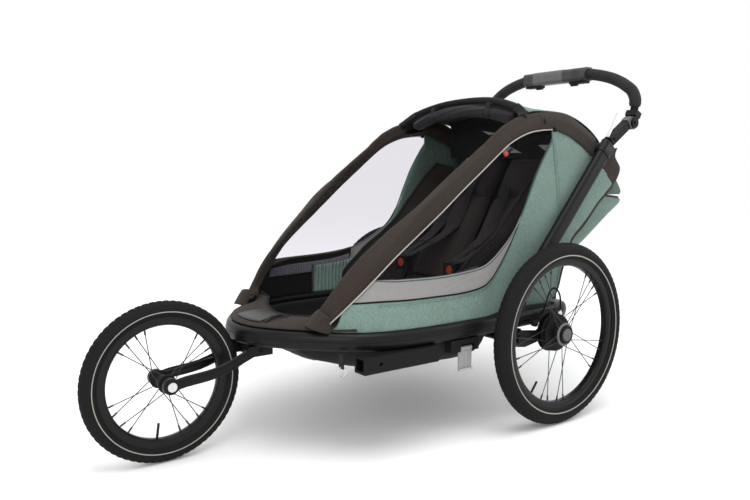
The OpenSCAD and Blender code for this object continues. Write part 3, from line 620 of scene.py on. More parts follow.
tub_grid = np.stack([tub_section(*p) for p in spline(TUB, 90)])
tub_grid[..., 2] += waves(tub_grid, 8, 120) * 1.2 * np.sin(np.linspace(0, np.pi, 61))[None]
tub = sheet("footwell_tub", tub_grid, "chassis", belly_cloth, thick=2.4)
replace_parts(tub, "floor_tub")
for i, (a, b, c, d) in enumerate([(34, 39, 2, 8), (12, 17, 14, 20)]):
    patch = tub_grid[a:b + 1, c:d + 1]
    patch = patch + normals(patch) * np.sign(normals(patch)[2, 2, 1]) * 2.4
    both(f"tub_patch_{i}", *cloth_shell(patch, 1.2), "chassis", green)

# Strap below the ring that carries the D-ring
strap = tube([(640, 262, 262.5), (640, 262.5, 250), (640, 262.3, 238), (640, 262, 229)], oval(20, 2.6, 16, 5))
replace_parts(piece("ring_loop", *strap, "chassis", webbing), "ring_strap")

# ---------------------------------------------------------------- wheels


def tyre(name, x, y, outer, fat, seat, body, node, blocks):
    """A tyre with a fine block tread on its crown and its shoulders."""
    centre = outer - fat - 1.4
    section = []
    for a in np.linspace(math.radians(-152), math.radians(152), 61):
        section.append((centre + fat * math.cos(a), fat * math.sin(a), a))
    inner = [(seat + 4, fat * 0.36), (seat + 4, -fat * 0.36)]
    profile = [(r, y + w) for r, w, a in section] + [(r, y + w) for r, w in inner]
    angles = np.array([a for _, _, a in section] + [9.0, 9.0])

    def tread(turn, index):
        a = angles[index]
        slant = turn * blocks + np.abs(a) * 2.2
        block = 0.5 + 0.5 * np.tanh(5 * (np.sin(slant) + 0.55))
        lines = 0.5 + 0.5 * np.tanh(4 * (np.cos(a * 15) + 0.35))
        crown = np.clip((0.95 - np.abs(a)) / 0.12, 0, 1)
        return crown * 1.3 * np.minimum(block, lines)

    shape = spun(profile, x, outer, turns=blocks * 7, wobble=tread)
    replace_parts(piece(name, *shape, body, tyre_rubber), node)


def stripe(name, x, y, z, radius, wide, body, facing):
    """A flat reflective ring on a tyre's wall."""
    profile = [(radius - wide / 2, y), (radius - wide / 2 + 0.5, y + facing * 0.7),
               (radius + wide / 2 - 0.5, y + facing * 0.7), (radius + wide / 2, y),
               (radius, y - facing * 1.4)]
    piece(name, *spun(profile, x, z, turns=200), body, reflective)


for side, s in (("left", 1), ("right", -1)):
    body = f"{side}_wheel"
    tyre(f"{side}_rear_tyre", 0, s * WHEEL_Y, WHEEL_R, 22.8, 201, body, f"{side}_tyre", 84)
    for facing in (-1, 1):
        face = "out" if facing > 0 else "in"
        stripe(f"{side}_stripe_{face}", 0, s * WHEEL_Y + facing * 21.0, WHEEL_R, 214, 3.6, body, facing)
        bead = [(r, s * WHEEL_Y + facing * out) for r, out in ((203, 13), (206.5, 15.4), (205, 12))]
        piece(f"{side}_bead_{face}", *spun(bead, 0, WHEEL_R), body, rim_black)
    collar = ((20, 383.4), (30, 383.2), (31.6, 385.4), (30, 388.2), (25.5, 389.0), (24, 386))
    hub = [(r, s * y) for r, y in collar]
    piece(f"{side}_hub_collar", *spun(hub, 0, WHEEL_R, turns=96), body, grey_part)
tyre("front_tyre", JOGGER_X, 0, JOGGER_R, 19.8, 151, "jogger_wheel", "jogger_tyre", 70)
for facing in (-1, 1):
    face = "left" if facing > 0 else "right"
    stripe(f"front_stripe_{face}", JOGGER_X, facing * 19.0, JOGGER_R, 168, 3.4, "jogger_wheel", facing)

# ---------------------------------------------------------------- cabin sides


def at_foot(*places):
    return [(x, CLOTH_FOOT) for x in places]


band_top = [(543, 424), (499, 424), (437, 424), (367, 425), (300, 429), (230, 438), (187, 454), (150, 475),
            (113, 500), (87, 526), (66, 556), (57, 569)]
band_low = [(600, 371), (540, 375), (458, 375), (380, 376), (300, 377), (235, 384), (195, 400), (160, 427),
            (125, 463), (97, 497), (70, 541), (55, 568)]
window_low = [(546, 420), (499, 420), (437, 420), (367, 421), (300, 425), (230, 434), (187, 450), (150, 471),
              (113, 496), (85, 524), (62, 558), (22, 634), (-5, 688), (-39, 744), (-59, 770)]
window_top = [(548, 424), (530, 440), (500, 466), (450, 507), (400, 546), (345, 588), (281, 639), (230, 678),
              (190, 708), (160, 731), (128, 754), (90, 775), (40, 791), (-20, 800), (-59, 800)]
green_top = [(628, 322), (600, 369), (553, 377), (458, 378), (362, 379), (266, 381), (177, 414), (112, 481),
             (55, 567), (26, 632), (-1, 686), (-37, 741), (-57, 772), (-60, 800), (-120, 784), (-200, 746),
             (-317, 674)]
green_low = at_foot(640, 612, 575, 470, 370, 266, 150, 60, -25, -62) + [
    (-90, 316), (-108, 345), (-118, 385), (-122, 400), (-157, 485), (-264, 583), (-345, 644)]

body_panel = side_grid(green_top, green_low, 34, 150, wrinkle=1.5, seed=5, size=110)
pair = both("side_panel", *cloth_shell(body_panel, 1.7), "chassis", green)
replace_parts(pair[0], "side_fabrics")
fold_with_hoop(*pair)
# The lining's darker green is painted shade
lining = side_grid(green_top, green_low, 20, 90, inward=3.4, wrinkle=1.5, seed=5, size=110)
folding("side_lining", cloth_shell(lining, 1.0), green_painted_shade)
band = side_grid(band_top, band_low, 12, 120, inward=-1.5, wrinkle=0.9, seed=6, size=90)
pair = both("side_band", *cloth_shell(band, 1.5), "chassis", band_grey)
fold_with_hoop(*pair)
window = side_grid(window_top, window_low, 26, 120, inward=0.2, wrinkle=1.6, seed=7, size=160)
pair = both("side_window", *cloth_shell(window, 0.6), "chassis", window_film)
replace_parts(pair[0], "side_windows")
fold_with_hoop(*pair)


def on_side(line, out=0.0, count=160):
    line = spline([(x, 0, z) for x, z in line], count)
    return np.stack([line[:, 0], side_y(line[:, 0], line[:, 2]) + out, line[:, 2]], 1)


def seam(name, line, wide, thick, material, slot=None):
    folding(name, tube(line, oval(thick, wide, 10, 3)), material, slot)


seam("band_welt", on_side(band_low[:-1], 1.9), 4.4, 2.0, part_black, "dark_fabric")
window_edge = [(543, 423), *window_low[1:11], (26, 632), (-1, 686), (-37, 741), (-57, 768)]
seam("window_welt", on_side(window_edge, 1.6), 4.0, 2.2, thread_green)
for i, rise in enumerate((6.5, 10.5)):
    line = on_side([(x - 0.5, z - rise - 1) for x, z in band_low[1:-2]], 1.6, 240)
    folding(f"band_stitch_{i}", stitches(line), thread_green)
rear_seam = on_side([(-62, 771), (-73, 700), (-86, 620), (-96, 540), (-106, 460), (-112, 390), (-96, 322)],
                    1.4)
seam("side_seam", rear_seam, 5.0, 2.2, green)
for i, shift in enumerate((-6, 6)):
    folding(f"side_seam_stitch_{i}", stitches(rear_seam + [shift, 0.3, 0]), thread_green)
rear_edge = on_side([(-317, 674), (-345, 644), (-304, 612), (-264, 583), (-205, 526), (-157, 485),
                     (-130, 420), (-120, 385), (-112, 350), (-96, 316)], 0.0, 200)
seam("rear_binding", rear_edge, 9.0, 4.0, brown)

# ---------------------------------------------------------------- sleeves on the hoop


HOOP = [(651, 172, 326.5), (636, 176, 343), (618, 202, 360), (568, 229, 413), (507, 245, 478),
        (438, 255, 542), (365, 263, 608), (275, 267, 671), (179, 268, 737), (80, 268, 791), (26, 268, 808),
        (-20, 268, 818)]
REAR_LINK = [(-20, 268, 818), (-75, 268, 823), (-149, 270, 804), (-205, 271, 779), (-236, 271, 762)]


def hull_ring(points, count):
    """The outline round a set of 2-D points, resampled evenly from its lowest point."""
    order = points[np.lexsort((points[:, 1], points[:, 0]))]

    def half(run):
        out = []
        for p in run:
            while len(out) > 1 and ((out[-1][0] - out[-2][0]) * (p[1] - out[-2][1])
                                    - (out[-1][1] - out[-2][1]) * (p[0] - out[-2][0])) <= 0:
                out.pop()
            out.append(p)
        return out

    ring = np.array(half(order)[:-1] + half(order[::-1])[:-1])
    ring = np.roll(ring, -np.argmin(ring[:, 1]), 0)
    return even(np.vstack([ring, ring[:1]]), count + 1)[:-1]


def sleeve(low, top, tube_line, count, seed=2, sides=40):
    """A sewn tube round the hoop, between its measured lower and upper edges."""
    low, top, middle_line = spline(low, count), spline(top, count), spline(tube_line, 400)
    circle = oval(2, 2, 24)
    rings = []
    for i in range(count):
        up = top[i] - low[i]
        tall = np.linalg.norm(up)
        up = up / tall
        tangent = low[min(i + 1, count - 1)] - low[max(i - 1, 0)]
        out = np.cross(tangent, up)
        out *= np.sign(out[1]) / np.linalg.norm(out)
        tangent = np.cross(out, up)
        hoop = middle_line[np.argmin(np.abs((middle_line - low[i]) @ tangent))] - low[i]
        outline = np.vstack([circle * 12.8 + [hoop @ out, hoop @ up], circle * 2.4 + [-2.4, 2.4],
                             circle * 6.5 + [-6.5, tall - 6.5], circle * 6 + [-4.5, tall * 0.5]])
        ring = hull_ring(outline, sides)
        rings.append(low[i] + np.outer(ring[:, 0], out) + np.outer(ring[:, 1], up))
    grid = np.array(rings)
    for _ in range(2):
        grid[:, :] = (np.roll(grid, 1, 1) + 2 * grid + np.roll(grid, -1, 1)) / 4
    grid[..., 1] += waves(grid, seed, 60) * 1.2
    grid[..., 2] += waves(grid, seed + 40, 46) * 0.8
    faces = grid_faces(count, sides, wrap_m=True)
    faces += [tuple(reversed(range(sides))), tuple(range((count - 1) * sides, count * sides))]
    return grid.reshape(-1, 3), faces


pair = both("hoop_sleeve", *sleeve(PIPING, SLEEVE_TOP, HOOP, 150), "hoop", brown)
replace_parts(pair[0], "hoop_sleeves")
pair = both("rear_sleeve", *sleeve(PIPING_REAR, SLEEVE_TOP_REAR, REAR_LINK, 60, seed=4), "rear_link", brown)
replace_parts(pair[0], "rear_sleeves")
both("piping", *tube(spline(np.array(PIPING[1:]) + [0, 1.5, 0], 200), oval(3.6, 3.6, 10)), "hoop",
     piping_white)
both("piping_rear", *tube(spline(np.array(PIPING_REAR[:2]) + [0, 1.5, 0], 20), oval(3.6, 3.6, 10)),
     "rear_link", piping_white)
seam_low, seam_top = spline(PIPING[1:], 200), spline(SLEEVE_TOP[1:], 200)
sleeve_seam = seam_low + (seam_top - seam_low) * 0.13 + [0, 1.8, 0]
both("sleeve_stitch", *stitches(sleeve_seam), "hoop", thread_dark)
both("window_snap", *spun([(0.2, 288), (5.5, 288), (6.5, 286.5), (6.5, 282), (0.2, 282)], -57, 797, turns=32),
     "rear_link", part_black)

# ---------------------------------------------------------------- roof, roll, bow

BOW = [(54, 262, 824), (38, 250, 838), (24, 205, 862), (8, 110, 884), (-3, 0, 891)]
bow_line = spline(BOW + [(x, -y, z) for x, y, z in BOW[-2::-1]], 90)
bow = piece("roof_bow_cover", *tube(bow_line, oval(19, 25, 22, 2.6)[:, ::-1]), "hoop", black_cloth)


def roof_grid(stations, drop=0.0):
    def section(row, y):
        x, edge, peak, lean = row
        k = 1 - (y / CABIN_HALF) ** 2
        return x + lean * k, edge + (peak - edge) * k ** 0.75 - drop

    grid = across(spline(stations, 40), 258, 70, section)
    grid[..., 2] += waves(grid, 12, 130) * 1.6
    return grid


front_roof = [(24, 838, 894, -22), (8, 842, 889, -14), (-10, 844, 880, -8), (-26, 846, 872, -4)]
rear_roof = [(-20, 845, 875, -4), (-80, 847, 866, 0), (-140, 840, 869, 0), (-200, 820, 870, 0),
             (-250, 794, 861, 0), (-286, 768, 826, 0), (-296, 752, 790, 0)]
top = sheet("roof_front", roof_grid(front_roof), "hoop", green, thick=1.8)
rear_top = sheet("roof_rear", roof_grid(rear_roof), "rear_link", green, thick=1.8)
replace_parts(rear_top, "roof_fabric")
roof_grid(front_roof)
roof_grid(rear_roof)
sheet("roof_lining_front", roof_grid(front_roof, drop=5), "hoop", black_cloth, thick=1.0)
sheet("roof_lining_rear", roof_grid(rear_roof, drop=5), "rear_link", black_cloth, thick=1.0)
edge_band = roof_grid(front_roof)
sheet("roof_bow_band", edge_band[:16] + normals(edge_band)[:16] * 1.6, "hoop", brown, thick=1.4)

ROLL_X, ROLL_HALF, ROLL_POINTS = 30, 212, 120


def roll_height(y, top=858):
    return top - y ** 2 / 1300


roll_y = np.linspace(-ROLL_HALF, ROLL_HALF, ROLL_POINTS)
roll_line = np.stack([ROLL_X + 0 * roll_y, roll_y, roll_height(roll_y)], 1)
angle = np.linspace(0, 2 * math.pi, 40, endpoint=False)
turns_of_cloth = []
for i, y in enumerate(roll_y):
    tight = 1 - 0.22 * math.exp(-((abs(y) - 120) / 10) ** 2)
    end = 1 - 0.35 * max(0, (abs(y) - 200) / 12) ** 2
    r = (16.4 + 0.9 * np.sin(angle * 3 + y / 40) + 0.7 * np.sin(angle * 7 + y / 17)) * tight * end
    turns_of_cloth.append(np.stack([r * np.cos(angle), r * np.sin(angle)], 1))
roll = piece("rolled_cover_cloth", *tube(roll_line, np.array(turns_of_cloth)), "hoop", roll_cloth)
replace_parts(roll, "rolled_cover")
for i, y in enumerate((-120, 120)):
    loop = [(ROLL_X + 15.5 * math.sin(a), y,
             roll_height(y) + 15.5 * math.cos(a) + (14 if math.cos(a) > 0.8 else 0))
            for a in np.linspace(0.35, 2 * math.pi - 0.35, 30)]
    rings = tube(spline(loop, 50), oval(18, 1.8, 12, 4))
    piece(f"roll_strap_{i}", *rings, "hoop", webbing)
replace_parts(bow, "roof_bow")
inner_bow = np.stack([np.interp(roll_y, bow_line[::-1, 1], bow_line[::-1, k]) for k in (0, 2)], 1)


def curtain_section(k, y):
    x = inner_bow[:, 0] * (1 - k) + ROLL_X * k
    return x + 4 * math.sin(math.pi * k), (inner_bow[:, 1] - 6) * (1 - k) + roll_height(y, 856) * k


curtain = across(np.linspace(0, 1, 8), ROLL_HALF, ROLL_POINTS, curtain_section)
sheet("bow_curtain", curtain, "hoop", black_cloth, thick=1.4)


# ---------------------------------------------------------------- cabin inside


def inside(name, upper, lower, rows, columns, inward, material, pleat=0.0, pitch=10.0):
    grid = side_grid(upper, lower, rows, columns, inward=inward, wrinkle=0.8, seed=9, size=60)
    grid[..., 1] += pleat * np.sin(grid[..., 0] * 2 * math.pi / pitch)
    folding(name, cloth_shell(grid, 1.2), material)


inside("footwell_lining", [(622, 345), (590, 385), (540, 400), (460, 404), (379, 406)],
       at_foot(630, 600, 550, 465, 379), 16, 60, 7, black_cloth)
inside("footwell_top", [(560, 408), (470, 421), (380, 423), (300, 427), (235, 438)],
       [(560, 384), (470, 392), (380, 394), (300, 398), (235, 410)], 8, 60, 8, black_cloth)
inside("footwell_band", [(545, 396), (470, 401), (380, 403), (300, 408), (240, 419)],
       [(545, 371), (470, 369), (380, 371), (300, 376), (240, 388)], 12, 320, 9.5, band_lilac,
       pleat=1.5, pitch=9.5)
inside("cabin_pleats", [(379, 390), (310, 393), (240, 402), (180, 420)],
       at_foot(379, 310, 240, 180), 16, 220, 11, green, pleat=1.8, pitch=13)
front_binding = [(378, 307), (379, 350), (379, 394)]
top_binding = [(560, 407), (470, 420), (380, 422), (300, 426), (235, 437)]
for name, line, out in (("lining_binding", front_binding, -12.5), ("lining_top_binding", top_binding, -7.5)):
    folding(name, tube(on_side(line, out, 60), oval(5, 6, 10, 3)), olive)

BACK_FOOT, BACK_HEAD = np.array([52.0, 350.0]), np.array([-168.0, 725.0])
BACK_LONG = float(np.linalg.norm(BACK_HEAD - BACK_FOOT))
BACK_UP = (BACK_HEAD - BACK_FOOT) / BACK_LONG
BACK_OUT = np.array([BACK_UP[1], -BACK_UP[0]])


def on_back(s, y, h):
    """A point s up the seat back, y across and h in front of it."""
    xz = BACK_FOOT + np.multiply.outer(s, BACK_UP) + np.multiply.outer(h, BACK_OUT)
    return np.stack([xz[..., 0], y + 0 * xz[..., 0], xz[..., 1]], -1)


def on_board(s, y, h):
    """A point s forward along the seat, y across and h above the board."""
    return np.stack([56 + s, y + 0 * s, 300 + h], -1)


def pad(name, place, long, sides, thick, material, crown=8.0, power=5.0):
    """A closed cushion: length long from s = 0, between two y, crowned in the middle."""
    n, m = 44, 30
    u, v = np.meshgrid(np.linspace(-1, 1, n), np.linspace(-1, 1, m), indexing="ij")
    round_s = (1 - np.abs(v) ** power) ** 0.12 * 0.5 + 0.5
    round_y = (1 - np.abs(u) ** power) ** 0.12 * 0.5 + 0.5
    s = long / 2 * (1 + u * (0.9 + 0.1 * round_s))
    y = (sides[0] + sides[1]) / 2 + (sides[1] - sides[0]) / 2 * v * (0.9 + 0.1 * round_y)
    edge = ((1 - u ** 8) * (1 - v ** 8)) ** 0.35
    front = place(s, y, thick * (0.30 + 0.70 * edge) + crown * (1 - u ** 2) * (1 - v ** 2) * edge)
    rear = place(s, y, thick * 0.28 * (1 - edge))
    points = np.vstack([front.reshape(-1, 3), rear.reshape(-1, 3)])
    obj = piece(name, points, shell_faces(n, m), "chassis", material)
    return obj


def rest(s, y, h):
    return on_back(s, y, h - 30)


def head_at(s, y, h):
    return rest(s + 298, y, h)


def bolster_at(s, y, h):
    return rest(s + 306, y, h + 32)


# Each pad with the part of it that the simulation holds still, and how far it may move in mm
soft = {
    "seat_pad": (pad("left_seat_pad", on_board, 262, (6, 220), 38, seat_cloth),
                 lambda p: np.abs(np.mod(p[:, 0] - 56, 65.5) - 32) < 2.6, 9),
    "back_pad": (pad("left_back_pad", rest, 300, (10, 216), 32, seat_cloth, crown=6),
                 lambda p: np.abs(np.mod(p[:, 1] - 10, 41.2) - 20.6) > 18.4, 8),
    "head_pad": (pad("left_head_pad", head_at, 140, (14, 212), 32, seat_mesh, crown=9),
                 lambda p: np.abs(p[:, 1] - 113) > 92, 9),
    "head_bolster": (pad("left_head_bolster", bolster_at, 96, (62, 164), 14, seat_mesh, crown=12, power=3.0),
                     lambda p: np.abs(p[:, 1] - 113) > 48, 8),
}


def puff(things, pressure=4.0):
    """Inflates closed pads with one short cloth simulation, holding their channels."""
    scene = bpy.context.scene
    for obj, held, _ in things:
        remesh = obj.modifiers.new("remesh", "REMESH")
        remesh.mode = "VOXEL"
        remesh.voxel_size = 0.006
        apply_modifiers(obj)
        points = vertices(obj) * 1000 + [AXLE_X, 0, 0]
        hold = obj.vertex_groups.new(name="held")
        hold.add([int(i) for i in np.nonzero(held(points))[0]], 1.0, "REPLACE")
        cloth = obj.modifiers.new("cloth", "CLOTH")
        cloth.settings.quality = 5
        cloth.settings.mass = 0.25
        cloth.settings.tension_stiffness = 12
        cloth.settings.compression_stiffness = 12
        cloth.settings.bending_stiffness = 0.4
        cloth.settings.vertex_group_mass = "held"
        cloth.settings.use_pressure = True
        cloth.settings.uniform_pressure_force = pressure
        cloth.settings.effector_weights.gravity = 0
        cloth.point_cache.frame_start = 1
        cloth.point_cache.frame_end = SIM_FRAMES
    for i in range(1, SIM_FRAMES + 1):
        scene.frame_set(i)
    for obj, _, cap in things:
        before = vertices(obj)
        shape = obj.evaluated_get(bpy.context.evaluated_depsgraph_get()).to_mesh()
        after = np.empty(len(shape.vertices) * 3)
        shape.vertices.foreach_get("co", after)
        obj.to_mesh_clear()
        move = after.reshape(-1, 3) - before
        far = np.linalg.norm(move, axis=1, keepdims=True)
        move *= np.minimum(1, cap / 1000 / np.maximum(far, 1e-9))
        obj.modifiers.clear()
        obj.vertex_groups.clear()
        obj.data.vertices.foreach_set("co", (before + move).ravel())
        obj.data.update()
        fine = obj.modifiers.new("fine", "SUBSURF")
        fine.levels = fine.render_levels = 1
        apply_modifiers(obj)
        obj.data.polygons.foreach_set("use_smooth", [True] * len(obj.data.polygons))
    scene.frame_set(1)


def vertices(obj):
    flat = np.empty(len(obj.data.vertices) * 3)
    obj.data.vertices.foreach_get("co", flat)
    return flat.reshape(-1, 3)


def apply_modifiers(obj):
    made = bpy.data.meshes.new_from_object(obj.evaluated_get(bpy.context.evaluated_depsgraph_get()))
    obj.modifiers.clear()
    obj.data = made


puff(list(soft.values()))
pads = []
for name, (obj, _, _) in soft.items():
    twin = obj.data.copy()
    right = bpy.data.objects.new("right_" + name, twin)
    bpy.context.scene.collection.objects.link(right)
    twin.vertices.foreach_set("co", (vertices(obj) * [1, -1, 1]).ravel())
    twin.flip_normals()
    twin.update()
    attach(right, "chassis")
    pads += [obj, right]
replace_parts(pads[0], "seat_cushions")
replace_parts(pads[2], "seat_back")
fold_with_hoop(*pads[2:])

# Wings beside the seats, and the wall behind them
wing_front = [(300, 330), (296, 372), (255, 410), (205, 452), (150, 486), (96, 528), (40, 590), (-20, 655),
              (-82, 706)]
wing_rear = [(70, 320), (56, 345), (34, 380), (10, 422), (-16, 466), (-44, 512), (-74, 566), (-110, 628),
             (-150, 694)]
u = np.linspace(0, 1, 18)[:, None, None]
lines = spline(np.hstack([wing_front, wing_rear]), 70)
xz = lines[None, :, :2] * (1 - u) + lines[None, :, 2:] * u
wing = np.stack([xz[..., 0], 232 - 6 * u[..., 0] + 0 * xz[..., 0], xz[..., 1]], 2)
wing[..., 1] += waves(wing, 21, 90) * 2.5
folding("seat_wing", cloth_shell(wing, 9), seat_cloth)
folding("seat_wing_binding", tube(wing[0], oval(12, 10, 14)), black_cloth, "seat_fabric")
wall_line = spline([(-262, 752), (-300, 684), (-236, 575), (-158, 480), (-122, 400), (-116, 312)], 44)
wall = across(wall_line, 256, 60, lambda row, y: (row[0] + 3 * np.sin(y / 40), row[1]))
wall[..., 0] += waves(wall, 31, 110) * 3
# The rear wall's darker green is painted shade
back_wall = sheet("rear_wall", wall, "chassis", green_painted_shade, thick=1.8, slot="dark_fabric")
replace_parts(back_wall, "rear_fabric")
fold_with_hoop(back_wall)

# Harness: two shoulder straps to each seat, down to its buckle
for i, (y, to) in enumerate(((80, 98), (152, 122))):
    on_seat = ((392, 6), (340, 15), (300, 17), (250, 10), (190, 9))
    to_buckle = ((40, y * 0.6 + to * 0.4, 470), (98, y * 0.3 + to * 0.7, 446), (150, to, 424))
    line = [on_back(np.array(s), y, np.array(h))[()] for s, h in on_seat]
    line += [np.array(p, float) for p in to_buckle]
    folding(f"shoulder_strap_{i}", tube(spline(line, 90), oval(27, 2.4, 14, 5)), webbing)
    grip = spline(line, 90)[46:70]
    folding(f"strap_pad_{i}", tube(grip, oval(40, 9, 20, 3)), seat_mesh)

# ---------------------------------------------------------------- rear: bag, flaps and valance

u = np.linspace(-1, 1, 61)
profile = spline([(-465, 0, 600), (-484, 0, 585), (-430, 0, 549), (-360, 0, 503), (-287, 0, 458),
                  (-248, 0, 436), (-214, 0, 447), (-192, 0, 463)], 50)[:, [0, 2]]
rim_line = spline([(-463, 0, 600), (-455, 0, 601), (-430, 0, 604), (-400, 0, 607), (-370, 0, 611),
                   (-345, 0, 600), (-290, 0, 540), (-192, 0, 470)], 50)[:, [0, 2]]
bag = np.zeros((61, 50, 3))
for i, a in enumerate(u):
    flat = min(abs(a) / 0.76, 1)
    rise = max(0, (abs(a) - 0.76) / 0.24)
    sag = (1 - flat ** 2) * np.sin(np.linspace(0, np.pi, 50)) * 7
    bag[i, :, 0] = profile[:, 0] * (1 - rise) + rim_line[:, 0] * rise - sag * 0.5
    bag[i, :, 1] = np.sign(a) * (197 * flat + 8 * min(1, rise * 5))
    bag[i, :, 2] = profile[:, 1] * (1 - rise) + rim_line[:, 1] * rise - sag
bag[..., 2] += waves(bag, 17, 90) * 2.0
bag[..., 1] += waves(bag, 18, 80) * 1.2
bag_piece = sheet("storage_pocket", bag, "posts", green, thick=2.0)
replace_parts(bag_piece, "storage_bag")
ring_points = np.vstack([bag[::-1, 0], bag[0, 1:], bag[1:, -1], bag[-1, -2:0:-1]])
pocket_rim = even(np.vstack([ring_points, ring_points[:1]]), 260)
piece("pocket_rim", *tube(pocket_rim, oval(7, 7, 10)), "posts", brown)


def flap(name, left_line, right_line, y, material, seed=1):
    rows = np.linspace(0, 1, 10)[:, None, None]
    pairs = spline(np.hstack([left_line, right_line]), 24)
    xz = pairs[None, :, :2] * (1 - rows) + pairs[None, :, 2:] * rows
    grid = np.stack([xz[..., 0], y + 0 * xz[..., 0], xz[..., 1]], 2)
    grid[..., 1] += waves(grid, seed, 60) * 2.5
    both(name, *cloth_shell(grid, 2.0), "posts", material)


flap("rear_flap", [(-371, 753), (-363, 728), (-388, 692), (-372, 659), (-358, 646)],
     [(-290, 745), (-292, 730), (-296, 710), (-306, 694), (-316, 683)], 263, brown)
# The pocket flap's darker green is painted shade
flap("pocket_flap", [(-358, 648), (-372, 659), (-400, 625), (-396, 612)],
     [(-330, 668), (-332, 655), (-330, 630), (-325, 612)], 258, green_painted_shade, seed=3)


def valance_section(k, y):
    bend = 10 * np.sin(np.pi * k)
    return -282 - 52 * k - bend, 766 + 30 * (1 - k) * (1 - (y / CABIN_HALF) ** 2) - 78 * k


valance = across(np.linspace(0, 1, 26), CABIN_HALF, 60, valance_section)
valance[..., 0] += waves(valance, 23, 120) * 3
sheet("rear_valance", valance, "posts", brown, thick=1.8)

# ---------------------------------------------------------------- trims

piece("zip_ball", *spun([(0.2, 290), (5, 288.5), (7.5, 285), (7.5, 282), (5, 279), (0.2, 278)], 135, 728,
                        turns=28), "hoop", red_part)
piece("zip_pull", *tube(np.array([(131, 285, 731), (124, 286, 735), (117, 286, 739), (110, 285, 742)]),
                        oval(2, 9, 10, 4)), "hoop", part_black)
corners = (((4, 769), (84, 737), (5, 738)), ((147, 760), (200, 759), (174, 742)),
           ((-90, 810), (-27, 801), (-58, 796)))
triangles = []
for a, b, c in corners:
    rows = np.linspace(0, 1, 6)[:, None, None]
    first = np.array([a, b], float)
    edge = first[0] + np.linspace(0, 1, 8)[:, None] * (first[1] - first[0])
    yz = edge[None] * (1 - rows * 0.96) + np.array(c, float) * rows * 0.96
    grid = np.stack([-146 + 0 * yz[..., 0], yz[..., 0], yz[..., 1]], 2)
    triangles.append(cloth_shell(grid, 1.2))
patches = piece("reflective_patches", *joined(triangles), "chassis", triangle_grey)
fold_with_hoop(patches)


def lining_section(k, y):
    high = 831 + 31 * (1 - (y / CABIN_HALF) ** 2) ** 0.75
    return -152 + 3 * np.sin(k * 9 + y / 60), high * (1 - k) + 722 * k


hang = across(np.linspace(0, 1, 18), 246, 60, lining_section)
head_lining = sheet("head_lining", hang, "chassis", black_cloth, thick=1.4)
fold_with_hoop(head_lining)

# Apron round the nose
outer = ring_point(13, SIDE_FOOT)
nose = [i for i in range(len(outer)) if outer[i, 0] > 592]
edge_out = outer[sorted(nose, key=lambda i: outer[i, 1])]
apron = []
for k in np.linspace(0, 1, 12):
    inner_x = 600 + 58 * np.clip(1 - (edge_out[:, 1] / 200) ** 2, 0, 1)
    inner_y = edge_out[:, 1] * 0.80
    inner = np.stack([inner_x, inner_y, 318 + 14 * (edge_out[:, 1] / 200) ** 2], 1)
    row = edge_out * (1 - k) + inner * k
    row[:, 2] += 5 * np.sin(np.pi * k)
    apron.append(row)
apron = np.array(apron)
apron[..., 2] += waves(apron, 27, 60) * 1.0
sheet("nose_apron", apron, "chassis", brown, thick=1.8)
piece("apron_binding", *tube(apron[-1], oval(8, 8, 12)), "chassis", black_cloth)
middle = [i for i in range(apron.shape[1]) if abs(apron[0, i, 1]) < 66]
flap_grid = apron[2:10, middle[0]:middle[-1] + 1]
facing_up = np.sign(normals(flap_grid)[4, len(middle) // 2, 2])
sheet("grip_flap_cover", flap_grid + normals(flap_grid) * facing_up * 3.4, "chassis", flap_leather, thick=3.0)
loop = [(668, 66, 325), (690, 66, 330), (715, 67, 327), (735, 68, 316)]
piece("grip_flap_loop", *tube(spline(loop, 30), oval(14, 2.6, 12, 4)), "chassis", webbing)
boot = spline([(641, 197, 346), (650, 192, 328), (656, 190, 309)], 12)
boot_sections = [oval(44 + 26 * k, 38 + 22 * k, 24, 2.6) for k in np.linspace(0, 1, 12)]
both("hoop_boot", *tube(boot, np.stack(boot_sections)), "chassis", brown)

# Handle: foam, bright metal strips on the extensions that stand in for their specular highlight (a painted
# highlight), a pale line on the console
half = [(HANDLE_X, y, z) for y, z in ((129, 988.4), (175, 979), (218, 966), (250, 951), (272, 937),
                                      (286, 926), (294, 915), (300, 900), (301, 888), (299.5, 876))]
line = spline(half, 90)
swell = np.array([0.86 + 0.14 * min(1, i / 3, (89 - i) / 3) for i in range(90)])
grips = both("handle_foam", *tube(line, np.stack([oval(35, 35, 28) * k for k in swell])), "handle",
             foam_black)
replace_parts(grips[0], "grip_foam")
lean = math.radians(33.5)
up = np.array([-math.sin(lean), 0, math.cos(lean)])
ahead = np.array([math.cos(lean), 0, math.sin(lean)])
base = np.array([-277, 300, 768.0])
# A bright strip along the extension's front edge: a painted highlight
strip = np.array([base + up * s + ahead * 13.2 for s in (8, 9, 50, 92, 93)])
both("extension_highlight_strip", *tube(strip, np.stack([oval(11 * k, 1.6, 12, 5) for k in (0.9, 1, 1, 1, 0.9)])),
     "posts", highlight_strip_metal)
piece("console_line", *tube(np.array([(HANDLE_X + 20, y, 1001) for y in np.linspace(-84, 36, 12)]),
                            oval(3, 3, 8)), "handle", pale_part)


# ---------------------------------------------------------------- camera, floor and light

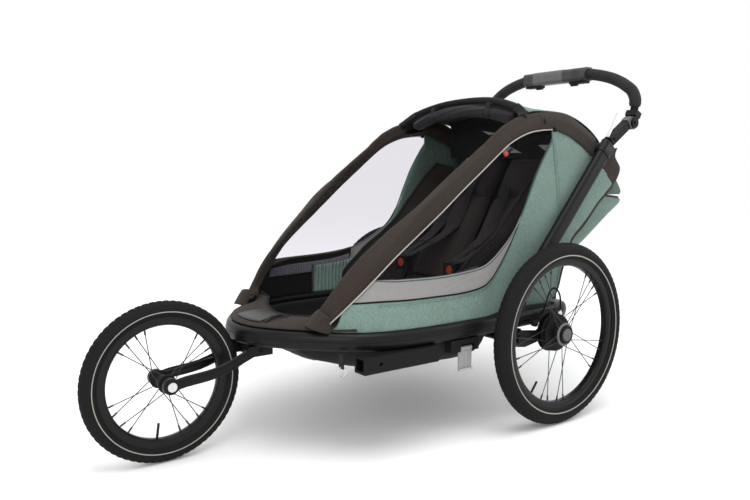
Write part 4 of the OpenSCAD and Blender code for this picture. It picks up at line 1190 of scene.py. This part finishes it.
scene = bpy.context.scene
camera_data = bpy.data.cameras.new("camera")
camera_data.lens = CAMERA_LENS
camera_data.sensor_width = 36
camera = bpy.data.objects.new("camera", camera_data)
scene.collection.objects.link(camera)
looking = Vector(CAMERA_AIM).normalized()
camera_roll = Matrix.Rotation(math.radians(CAMERA_ROLL), 4, "Z")
turn = looking.to_track_quat("-Z", "Y").to_matrix().to_4x4() @ camera_roll
camera.matrix_world = Matrix.Translation(CAMERA_PLACE) @ turn
scene.camera = camera

floor_mesh = bpy.data.meshes.new("floor")
turns = np.linspace(0, 2 * math.pi, FLOOR_SIDES, endpoint=False)
rim = [(0, 0, 0)] + [(FLOOR_RADIUS * math.sin(a), FLOOR_RADIUS * math.cos(a), 0) for a in turns]
floor_mesh.from_pydata(rim, [], [(0, 1 + (i + 1) % FLOOR_SIDES, 1 + i) for i in range(FLOOR_SIDES)])
floor = bpy.data.objects.new("floor", floor_mesh)
scene.collection.objects.link(floor)
paper = Nodes("paper_floor")
paper.link(paper.fade(paper.noise(3.0, 2.0), 0.3, 0.7, 0.93, 0.95), "Base Color")
paper.set(Roughness=0.95, Specular_IOR_Level=0.0)
floor_mesh.materials.append(paper.material)

world = bpy.data.worlds.new("studio")
scene.world = world
world.use_nodes = True
world.node_tree.nodes["Background"].inputs["Color"].default_value = (1, 1, 1, 1)
world.node_tree.nodes["Background"].inputs["Strength"].default_value = WORLD_LIGHT


def lamp(name, place, aim, size, power):
    data = bpy.data.lights.new(name, "AREA")
    data.shape = "DISK"
    data.size = size
    data.energy = power
    obj = bpy.data.objects.new(name, data)
    scene.collection.objects.link(obj)
    obj.location = place
    obj.rotation_euler = (Vector(aim) - Vector(place)).to_track_quat("-Z", "Y").to_euler()


lamp("key", (0.4, 1.2, 3.6), (0.0, 0.0, 0.3), 2.6, 60)
lamp("front", (3.4, 2.6, 1.9), (0.0, 0.1, 0.5), 2.2, 30)
lamp("rear", (-3.0, 1.6, 2.2), (-0.2, 0.1, 0.6), 1.8, 22)
sun = bpy.data.lights.new("wide", "SUN")
sun.energy = 0.22
sun.angle = 1.2
sky = bpy.data.objects.new("wide", sun)
scene.collection.objects.link(sky)
sky.rotation_euler = (0.3, -0.2, 0)
scene.view_settings.view_transform = "Standard"
